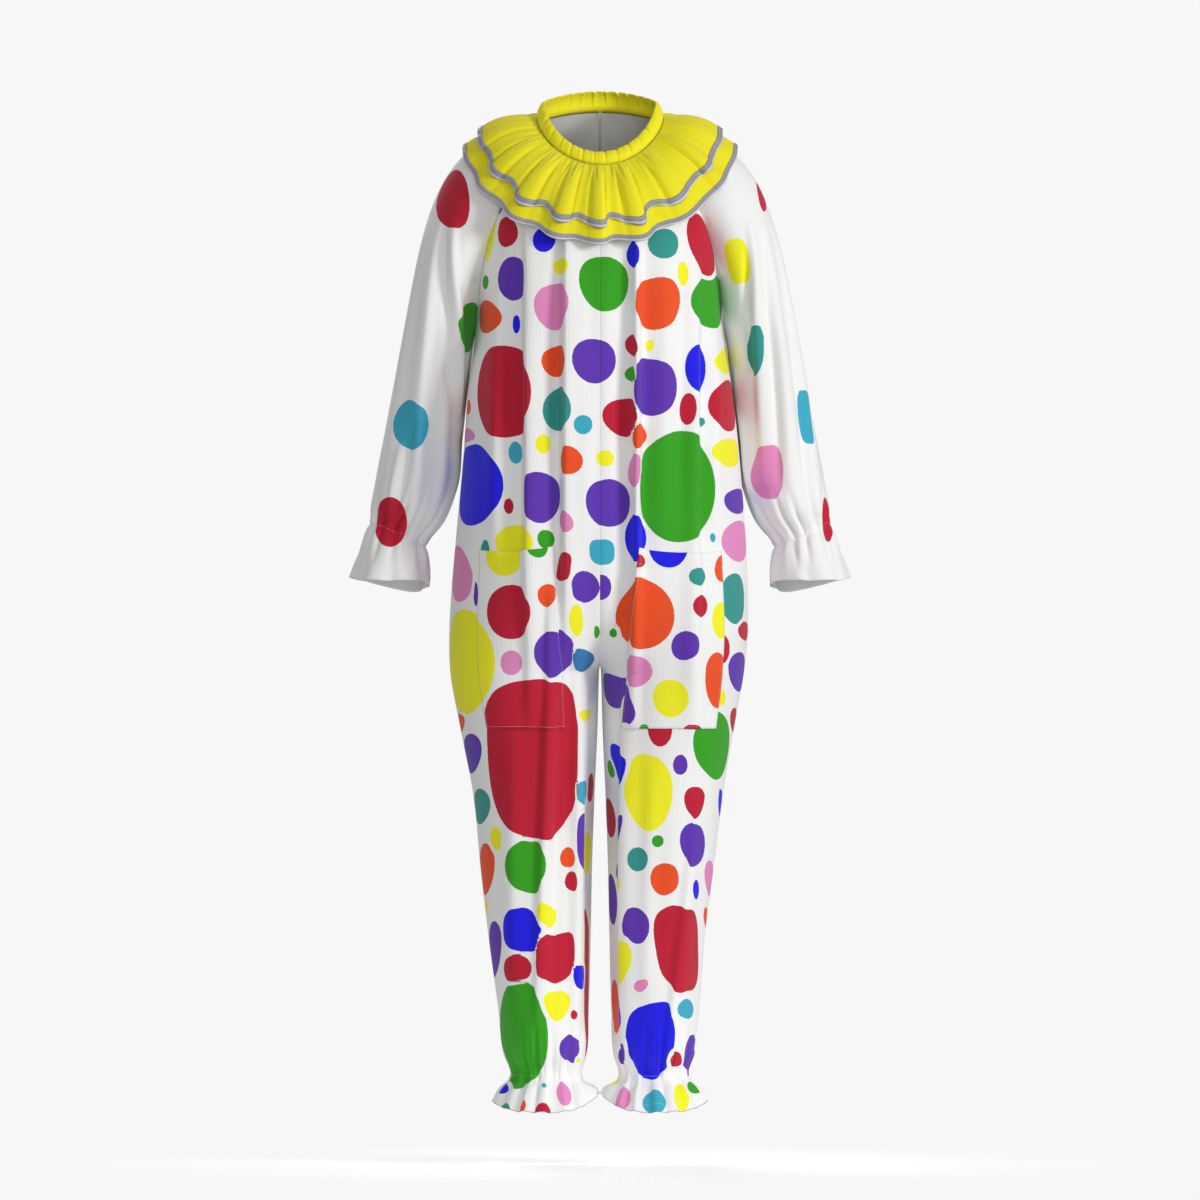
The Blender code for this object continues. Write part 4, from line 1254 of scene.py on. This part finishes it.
sleeves = {}
for side_name, side in SIDES.items():
    points, out, across, along = sleeve_cloth(side_name)
    front = np.broadcast_to(np.linspace(0, 1, SLEEVE_GRID + 1) < 0.5, across.shape)
    before = charted(SLEEVE_DOTS, side, points, across, along, front, gathered_below=WRIST_BELOW_UP)
    start = (across[:, -1:] / 2).max() + SLEEVE_BEHIND
    behind = thrown(across, along, 31 + side, share=SLEEVE_SHARE, start=start)
    (edge, colour), (back_edge, back_colour) = (dotted(dots, across.shape) for dots in (before, behind))
    nearer = back_edge < edge
    look = np.where(nearer, back_edge, edge), np.where(nearer[..., None], back_colour, colour)
    name = f"sleeve_{side_name}"
    sleeves[side_name] = panel(name, "white_knit", sleeve_jersey, side < 0, points, out, across, along, *look)

# %% [markdown]
# ## The patch pockets
#
# A pocket is a rectangle of the same cloth, hemmed at the top and stitched on by its other three sides. It
# lies on the panel, so its points are the panel's own, worked out more finely and moved out by the two
# walls. The top hem is two layers, so it stands a little prouder.

# %% Make the pockets
POCKET_TOP = -0.600
POCKET_FOOT = -0.857
# Where the mouth and the foot start and end, as shares of the panel's width.
POCKET_EDGES = {"right": ((0.365, 0.714), (0.325, 0.700)), "left": ((0.312, 0.716), (0.278, 0.748))}
# How far the mouth sags at its inner end, in the middle and at its outer end.
POCKET_SAGS = {"right": (0.0011, 0.0087, 0.0066), "left": (0.0035, 0.0107, 0.0075)}
# The grid's rows and columns, and the columns of cloth inside and outside it.
POCKET_GRID = (80, 60)
POCKET_BESIDE = (24, 20)
POCKET_REACH = 0.12
# The hem's depth and how much prouder it stands, how far and how wide its stitches pull, how far the pocket
# puffs out and how far down, and what it clears the two walls by.
POCKET_HEM, HEM_STANDS = 0.024, 0.0006
HEM_PULL, HEM_PULL_WIDTH = 0.0005, 0.0015
POCKET_PUFF, PUFF_END = 0.0016, 0.16
POCKET_CLEAR = 0.0008


def pocket_cloth(side_name):
    """The front panel's surface under a pocket and 120 mm past its ends, from the centre to the side, worked
    out more finely. A pocket is part of it, with the same measure across and along. Its mouth sags, by a
    parabola through its two corners and its middle, and the sag dies away down to the foot."""
    side = SIDES[side_name]
    span = POCKET_TOP - POCKET_FOOT
    past = round(POCKET_REACH / span * (POCKET_GRID[0] - 1))
    down = np.arange(-past, POCKET_GRID[0] + past)[:, None] / (POCKET_GRID[0] - 1)
    (top_in, top_out), (foot_in, foot_out) = POCKET_EDGES[side_name]
    share = np.clip(down, 0, 1)
    first, last = top_in + (foot_in - top_in) * share, top_out + (foot_out - top_out) * share
    inner = np.linspace(0, 1, POCKET_BESIDE[0], endpoint=False)[None, :]
    within = np.linspace(0, 1, POCKET_GRID[1])[None, :]
    outer = np.linspace(0, 1, POCKET_BESIDE[1])[None, 1:]
    u = np.concatenate([first * inner, first + (last - first) * within, last + (1 - last) * outer], axis=1)
    across_mouth = np.clip((u - first) / (last - first), 0, 1)
    sag_in, sag, sag_out = POCKET_SAGS[side_name]
    corners = (2 * across_mouth - 1) * (sag_out * across_mouth - sag_in * (1 - across_mouth))
    sag = 4 * sag * across_mouth * (1 - across_mouth) + corners
    rows = level_row(POCKET_TOP - span * down - sag * (1 - share))
    points = body_panel(side, -1, u, rows)
    out = normals(points) * side
    height, hidden = body_folds(f"front_{side_name}", side, u, rows, points)
    points += out * height[..., None]
    out = normals(points) * side
    start = POCKET_BESIDE[0]
    across, along = across_panel(points, hidden, start + POCKET_GRID[1] // 2), lengths(points, 0)
    keep = (slice(past, past + POCKET_GRID[0]), slice(start, start + POCKET_GRID[1]))
    return points, out, across, along, keep


def raised(points, out, along):
    """Moves a pocket out by the two walls. Its hem is folded double, so it stands prouder, and stitches pull
    it in along the hem's end. Between its sides it puffs out, less and less from the mouth down."""
    own = along - along[:1]
    hem = HEM_STANDS * (1 - ease(own, POCKET_HEM - 0.002, POCKET_HEM))
    pulled = HEM_PULL * np.exp(-(((own - POCKET_HEM) / HEM_PULL_WIDTH) ** 2))
    puff = POCKET_PUFF * np.sin(np.pi * np.linspace(0, 1, own.shape[1])[None, :]) * (1 - ease(own, 0, PUFF_END))
    return points + out * ((BODY_WALL + RUFFLE_WALL) / 2 + POCKET_CLEAR + hem - pulled + puff)[..., None]


pockets = {}
for side_name, side in SIDES.items():
    points, out, across, along, keep = pocket_cloth(side_name)
    dots = charted(POCKET_DOTS, side, points, across, along, out[..., 1] < TURNED_AWAY)
    edge, colour = dotted(dots, across.shape)
    out, across, along, edge, colour = (values[keep] for values in (out, across, along, edge, colour))
    points = raised(points[keep], out, along)
    name, looks = f"pocket_{side_name}", (body_jersey, reverse)
    piece = cloth(f"{name}_cloth", points, RUFFLE_WALL, looks, (across, along), flip=side < 0, edge=edge,
                  colour=colour)
    pockets[side_name] = (seat(piece, name), points, out)
    print(f"{name}: {np.ptp(across):.3f} by {np.ptp(along):.3f} m")

# %% [markdown]
# ## The ruffle collar
#
# Each tier is a long strip of woven cloth, gathered into the neck seam. Close to the seam the gathers are
# small and sharp; they open into eighteen or so broad waves at the hem, no two alike. The casing above
# holds elastic: cloth folded over at the top, and drawn up into puckers.

# %% Tiers
RUFFLE_WAVES = 18
TIER_GRID = (25, 612)
RUFFLE_CLOTH = RUFFLE_WALL * 0.8
# Each tier's depth under the neck's surface, its bulge over the shoulders, the height, lean and hang of its
# waves, and its share of the creases.
TIERS = {
    "upper": (0.0, 0.0120, 0.0078, 0.0066, 0.0080, 1.0),
    "lower": (0.0016, 0.0088, 0.0056, 0.0038, 0.0046, 0.35),
}
# Creases between the waves: phase, depth, reach from the seam, how wide each one is (as a share), and how
# many times as many as the waves there are.
TIER_CREASES = ((np.pi, 0.0040, 0.200, 0.30, 2), (0.6, 0.0016, 0.060, 0.05, 1), (5.1, 0.0012, 0.045, 0.08, 2))


def all_round(columns):
    """The angles of a closed grid's columns."""
    return np.linspace(0, 2 * np.pi, columns, endpoint=False)[None, :]


def wave_phase(angle):
    return RUFFLE_WAVES * angle + 0.6 * np.sin(3 * angle + 1) + 0.4 * np.sin(5 * angle)


def tier_surface(tier, t):
    """A tier from the neck seam (t 0) to its hem (t 1): a cone between two rings, rounded over the shoulder
    by 4 b t (1 - t). Waves grow towards the hem, lean one way and then the other, hang lower where they
    stand out and are calm at the sides. Narrow creases run out from the seam between them and die away, by
    their distance from the seam, so that both tiers' agree, and small gathers lie close to it."""
    sunk, bulge, wave, sway, fall, creased = TIERS[tier]
    angle = all_round(TIER_GRID[1])
    along, out = neck_frame(angle)
    seam = ring("neck_seam", angle) + along * SEAM_GAP - out * sunk
    hem = ring(f"{tier}_hem", angle)
    flat = seam + (hem - seam) * t
    points = flat + 4 * bulge * t * (1 - t) * normals(flat, closed=True)
    phase = wave_phase(angle)
    down = t[..., 0] * np.linalg.norm(hem - seam, axis=-1)
    strength = 1 + 0.35 * np.sin(2 * angle + 0.7) * np.sin(5 * angle)
    strength *= 1 - 0.8 * np.exp(-(((1 - np.abs(np.sin(angle))) / 0.06) ** 2))
    height = wave * t[..., 0] ** 0.8 * np.cos(phase) * strength
    for shift, depth, reach, width, times in TIER_CREASES:
        crease = np.exp((np.cos(phase * times + shift) - 1) / width)
        shown = between(down, 0.002, 0.25 * reach, 0.4 * reach, reach)
        height = height - creased * depth * crease * shown * strength
    gathers = np.cos(uneven(angle / (2 * np.pi), 61, 1.1))
    height = height + 0.0004 * gathers * between(down, 0, 0.006, 0.012, 0.05)
    lean = sway * t[..., 0] ** 1.5 * np.cos(phase) * np.sin(3 * angle + 0.9) * strength
    away = stack(np.cos(angle), np.sin(angle), 0)
    points = points + normals(points, closed=True) * height[..., None] + away * lean[..., None]
    points[..., 2] -= fall * t[..., 0] ** 2 * np.cos(phase) * strength
    return points


def collar_piece(node, name, points, wall, look, start=0.0):
    """A piece that goes all round the neck, on its solid, with its points and normals."""
    across, along = lengths(points, 1), lengths(points, 0) + start
    piece = cloth(name, points, wall, (look,), (across, along), closed=True)
    print(f"{name}: {across.max():.3f} m round, {along.mean(axis=1).max():.3f} m deep")
    return seat(piece, node), points, normals(points, closed=True)


tiers = {}
for tier in TIERS:
    points = tier_surface(tier, np.linspace(0, 1, TIER_GRID[0])[:, None, None])
    name = f"collar_{tier}"
    tiers[tier] = collar_piece(name, f"{name}_cloth", points, RUFFLE_CLOTH, yellow_weave)


# %% Bindings folded over the hems
BINDING_OFFSET = RUFFLE_WALL / 2 + TAPE_WALL

bindings = {}
for tier in TIERS:
    depth = lengths(tiers[tier][1], 0)[-1].mean()
    shares = 1 - np.linspace(BINDING_WIDTHS[tier], 0, 5) / depth
    strip = tier_surface(tier, np.concatenate([shares[:1] - 0.01, shares])[:, None, None])
    strip, out = strip[1:], normals(strip, closed=True)[1:]
    down = unit(strip[-1] - strip[-2])
    turn = np.linspace(0, np.pi, 7)[1:-1, None, None]
    bend = strip[-1] + BINDING_OFFSET * (out[-1] * np.cos(turn) + down * np.sin(turn))
    points = np.concatenate([strip + out * BINDING_OFFSET, bend, (strip - out * BINDING_OFFSET)[::-1]])
    name, start = f"collar_{tier}_binding", BINDING_WIDTH - BINDING_WIDTHS[tier]
    bindings[tier] = collar_piece(name, f"{name}_tape", points, TAPE_WALL, grey_satin, start)


# %% Casing
BAND_GATHERS = 30
BAND_GRID = (12, 500)
# Half the room between its layers, its bulge, the depth of its puckers and how far they lift the top.
BAND_HALF, BAND_BULGE, BAND_PUCKER, BAND_LIFT = 0.0010, 0.0030, 0.0013, 0.0011
# The two rows that line the seam inside: how deep each lies, and how far from the seam.
FACING_DEPTHS = ((0.0054, 0.0090), (0.0050, 0.0))


def casing(t, outer):
    """The casing's outer or inner layer: between two rings, bulging a little, in rounded pads between short
    creases. The two layers part by up to 2 mm and meet in a round fold at the top, where t is 0."""
    angle = all_round(BAND_GRID[1])
    top, seam = ring("band_top", angle), ring("neck_seam", angle)
    flat = top + (seam - top) * t
    spread = 0.5 * np.sin(4 * angle + 0.5) + 0.3 * np.sin(9 * angle)
    crease = np.exp((np.cos(BAND_GATHERS * angle + spread + np.pi) - 1) / 0.16)
    small = np.exp((np.cos(uneven(angle / (2 * np.pi), 47, 1.6)) - 1) / 0.10)
    pucker = 0.6 - crease - 0.45 * small
    gather = BAND_PUCKER * pucker[..., None] * (1 - 0.35 * t**4)
    half = BAND_HALF * np.sqrt(np.clip(1 - (1 - np.minimum(t / 0.10, 1)) ** 2, 0, 1))
    bulge = BAND_BULGE * 4 * t * (1 - t)
    points = flat + normals(flat, closed=True) * (bulge + gather + (half if outer else -half))
    points[..., 2] += BAND_LIFT * pucker * (1 - ease(t[..., 0], 0, 0.6))
    return points


def facing():
    """Two rows that carry the casing's inner layer on under the jumpsuit's top edge, which it covers."""
    angle = all_round(BAND_GRID[1])
    along, out = neck_frame(angle)
    return [ring("neck_seam", angle) + along * reach - out * depth for depth, reach in FACING_DEPTHS]


steps = (np.linspace(0, 1, BAND_GRID[0]) ** 1.6 * 0.96)[:, None, None]
points = np.concatenate([*facing(), casing(steps, False)[::-1], casing(steps[1:], True)])
band = collar_piece("neckband", "neckband_cloth", points, TAPE_WALL, yellow_weave)

# %% [markdown]
# ## Sewing
#
# Straight stitches hold the pockets, the hems and the bindings. A stitch is a grain of thread, 2.4 mm long,
# that sinks into the cloth at both ends. They are laid along a row of the cloth's own points, all at once.


# %% Stitches along a row
STITCH_PITCH, STITCH_SIZE, STITCH_THICK = 0.0032, 0.0024, 0.00022
STITCH_SIDES = 5
STITCH_CLEAR = 0.0001
# How far ahead the run is looked up for a stitch's direction.
LOOK_AHEAD = 0.001
# A stitch's three rings: how far along it they lie, how thick they are and how far they stand out.
STITCH_RINGS = np.array([(-0.5, 0.35, -0.9), (0.0, 1.0, 0.4), (0.5, 0.35, -0.9)])


def stitches(name, runs, look, pitch=STITCH_PITCH, size=STITCH_SIZE, thick=STITCH_THICK):
    """One mesh of stitches. A run is (points, normals, closed). Each stitch has three rings of five points,
    narrow at the ends and full in the middle, along the run's direction."""
    centres, ways, ups = [], [], []
    for points, out, closed in runs:
        if closed:
            points, out = np.concatenate([points, points[:1]]), np.concatenate([out, out[:1]])
        reach = lengths(points, 0)
        places = np.arange(pitch / 2, reach[-1], pitch)
        centre, ahead, up = (
            np.stack([np.interp(at, reach, values) for values in grid.T], axis=-1)
            for at, grid in ((places, points), (places + LOOK_AHEAD, points), (places, out))
        )
        centres.append(centre)
        ups.append(unit(up))
        ways.append(unit(ahead - centre + 1e-9))
    centre, way, up = (np.concatenate(parts)[:, None, None, :] for parts in (centres, ways, ups))
    place, full, sink = STITCH_RINGS.T[:, None, :, None, None]
    angle = np.linspace(0, 2 * np.pi, STITCH_SIDES, endpoint=False)[None, None, :, None]
    radius = thick * full
    verts = centre + way * place * size + up * (thick * sink + radius * np.sin(angle))
    verts = verts + np.cross(way, up) * radius * np.cos(angle)
    index = np.arange(3 * STITCH_SIDES).reshape(3, STITCH_SIDES)
    around = np.roll(index, -1, axis=1)
    sides = np.stack([index[:-1], around[:-1], around[1:], index[1:]], axis=-1).reshape(-1, 4)
    caps = np.stack([index[0][::-1], index[2]])
    first = index.size * np.arange(len(verts))[:, None, None]
    faces = [(shape + first).reshape(-1, shape.shape[-1]).tolist() for shape in (sides, caps)]
    mesh = bpy.data.meshes.new(name)
    mesh.from_pydata(verts.reshape(-1, 3).tolist(), [], faces[0] + faces[1])
    mesh.materials.append(look)
    mesh.shade_smooth()
    piece = linked(name, mesh)
    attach(piece, "root")
    print(name, ":", len(verts), "stitches")


def over(piece, place, wall, closed=False):
    """A run over one row of a piece's grid, or one column, just outside its wall."""
    _, points, out = piece
    return points[place] + out[place] * (wall / 2 + STITCH_CLEAR), out[place], closed


def nearest_row(runs, row):
    return int(np.argmin(np.abs(rows_of(runs) - row)))


# %% Sew the pockets, the hems and the collar
FINE_THREAD = 0.00016
# The grid rows that a cuff's and an ankle's hem are stitched on, counted from the edge.
CUFF_STITCHED, ANKLE_STITCHED = -9, -5

pocket_runs, hem_runs, edge_runs = [], [], []
for side_name in SIDES:
    pocket, sleeve = pockets[side_name], sleeves[side_name]
    rows = len(pocket[1])
    hem_row = int(round(POCKET_HEM / lengths(pocket[1], 0)[-1].mean() * (rows - 1)))
    pocket_runs += [over(pocket, place, RUFFLE_WALL) for place in (hem_row, -2, np.s_[:, 1], np.s_[:, -2])]
    wrist_row = nearest_row(SLEEVE_RUNS, WRIST_SHARE)
    hem_runs += [over(sleeve, row, BODY_WALL) for row in (CUFF_STITCHED, wrist_row)]
    for face_name, runs in PANEL_RUNS.items():
        sewn_panel = panels[f"{face_name}_{side_name}"]
        gathered_row = nearest_row(runs, level_row(ANKLE_LEVEL))
        hem_runs += [over(sewn_panel, row, BODY_WALL) for row in (ANKLE_STITCHED, gathered_row)]
        edge_runs.append(over(sewn_panel, -1, BODY_WALL))
binding_runs = [over(bindings[tier], 1, TAPE_WALL, closed=True) for tier in TIERS]
stitches("pocket_stitching", pocket_runs, white_thread, thick=FINE_THREAD)
stitches("hem_stitching", hem_runs, white_thread, thick=FINE_THREAD)
stitches("ankle_edge_overlock", edge_runs, grey_thread, pitch=0.0024, size=0.0026, thick=0.0005)
stitches("binding_stitching", binding_runs, white_thread)
stitches("casing_stitching", [over(band, -2, TAPE_WALL, closed=True)], yellow_thread)

# %% [markdown]
# ## What the cloth was cut to
#
# The ruffles and the casing were cut much longer than the seam that they are drawn into.

print("sheets declared")

# %% [markdown]
# ## Floor, light and camera
#
# A plain pale floor and soft studio light. The floor is a disc that fades into the background, so no
# horizon cuts across the costume. A lamp high on the wearer's left models the folds, a large weak one in
# front fills them, one behind lights the back, and the sky keeps the rest bright.

# %% Floor
FLOOR_LEVEL = -1.473
FLOOR_RADIUS = 1.7
FLOOR_SIDES = 64
# Where the disc starts to fade and where it has gone.
FADE_START, FADE_END = 0.15, 0.85

floor_white = {"Base Color": srgb("#D8D8D8"), "Roughness": 0.9, "Emission Color": srgb("#FFFFFF")}
floor_material, tree, shader = begin("Matt white studio floor", {**floor_white, "Emission Strength": 0.47})
place = add(tree, "ShaderNodeTexCoord").outputs["Object"]
level = add(tree, "ShaderNodeVectorMath", {"operation": "MULTIPLY", 1: (1, 1, 0)}, in0=place).outputs[0]
away = add(tree, "ShaderNodeVectorMath", {"operation": "LENGTH"}, in0=level).outputs["Value"]
ends = {"interpolation_type": "SMOOTHSTEP", "From Min": FADE_START, "From Max": FADE_END}
fade = add(tree, "ShaderNodeMapRange", ends, Value=away).outputs[0]
clear = add(tree, "ShaderNodeBsdfTransparent").outputs[0]
mixed = add(tree, "ShaderNodeMixShader", None, Fac=fade, in1=shader.outputs[0], in2=clear)
tree.links.new(mixed.outputs[0], tree.nodes["Material Output"].inputs["Surface"])
angle = all_round(FLOOR_SIDES)[0]
corners = stack(FLOOR_RADIUS * np.cos(angle), FLOOR_RADIUS * np.sin(angle), FLOOR_LEVEL)
mesh = bpy.data.meshes.new("floor")
mesh.from_pydata(corners.tolist(), [], [list(range(FLOOR_SIDES))])
mesh.materials.append(floor_material)
floor = linked("floor", mesh)
print("floor at", FLOOR_LEVEL, "m")


# %% Lamps and background
def lamp(name, place, aim, size, power):
    """A square area lamp at a place, turned to face a point."""
    data = bpy.data.lights.new(name, "AREA")
    data.size, data.energy = size, power
    made = linked(name, data)
    made.location = place
    made.rotation_euler = (Vector(aim) - Vector(place)).to_track_quat("-Z", "Y").to_euler()


lamp("key lamp", (4.4, -3.4, 1.0), (0, 0, -0.65), 1.3, 165)
lamp("fill lamp", (0.3, -6.4, -0.1), (0, 0, -0.7), 3.0, 84)
lamp("back lamp", (-1.5, 4.5, 2.0), (0, 0, -0.6), 3.0, 115)

world = bpy.data.worlds.new("Pale studio")
bpy.context.scene.world = world
world.use_nodes = True
tree = world.node_tree
tree.nodes.clear()
ray = add(tree, "ShaderNodeLightPath").outputs["Is Camera Ray"]
lit = add(tree, "ShaderNodeBackground", {"Color": srgb("#FFFFFF"), "Strength": 0.36}).outputs[0]
seen = add(tree, "ShaderNodeBackground", {"Color": srgb("#F7F7F7"), "Strength": 1.0}).outputs[0]
both = add(tree, "ShaderNodeMixShader", None, Fac=ray, in1=lit, in2=seen).outputs[0]
add(tree, "ShaderNodeOutputWorld", None, Surface=both)
bpy.context.scene.view_settings.view_transform = "Standard"
print("lamps: key, fill and back")

# %% Camera
camera_data = bpy.data.cameras.new("camera")
camera_data.sensor_width = 36.0
camera_data.lens = 425.4
camera = linked("camera", camera_data)
camera.location = (0.0, -CHART_REACH, CHART_MIDDLE)
camera.rotation_euler = (np.pi / 2, 0.0, 0.0)
bpy.context.scene.camera = camera
print("camera", CHART_REACH, "m in front")

# %% [markdown]
# ## Finish
#

# %% Finish
bpy.context.view_layer.update()
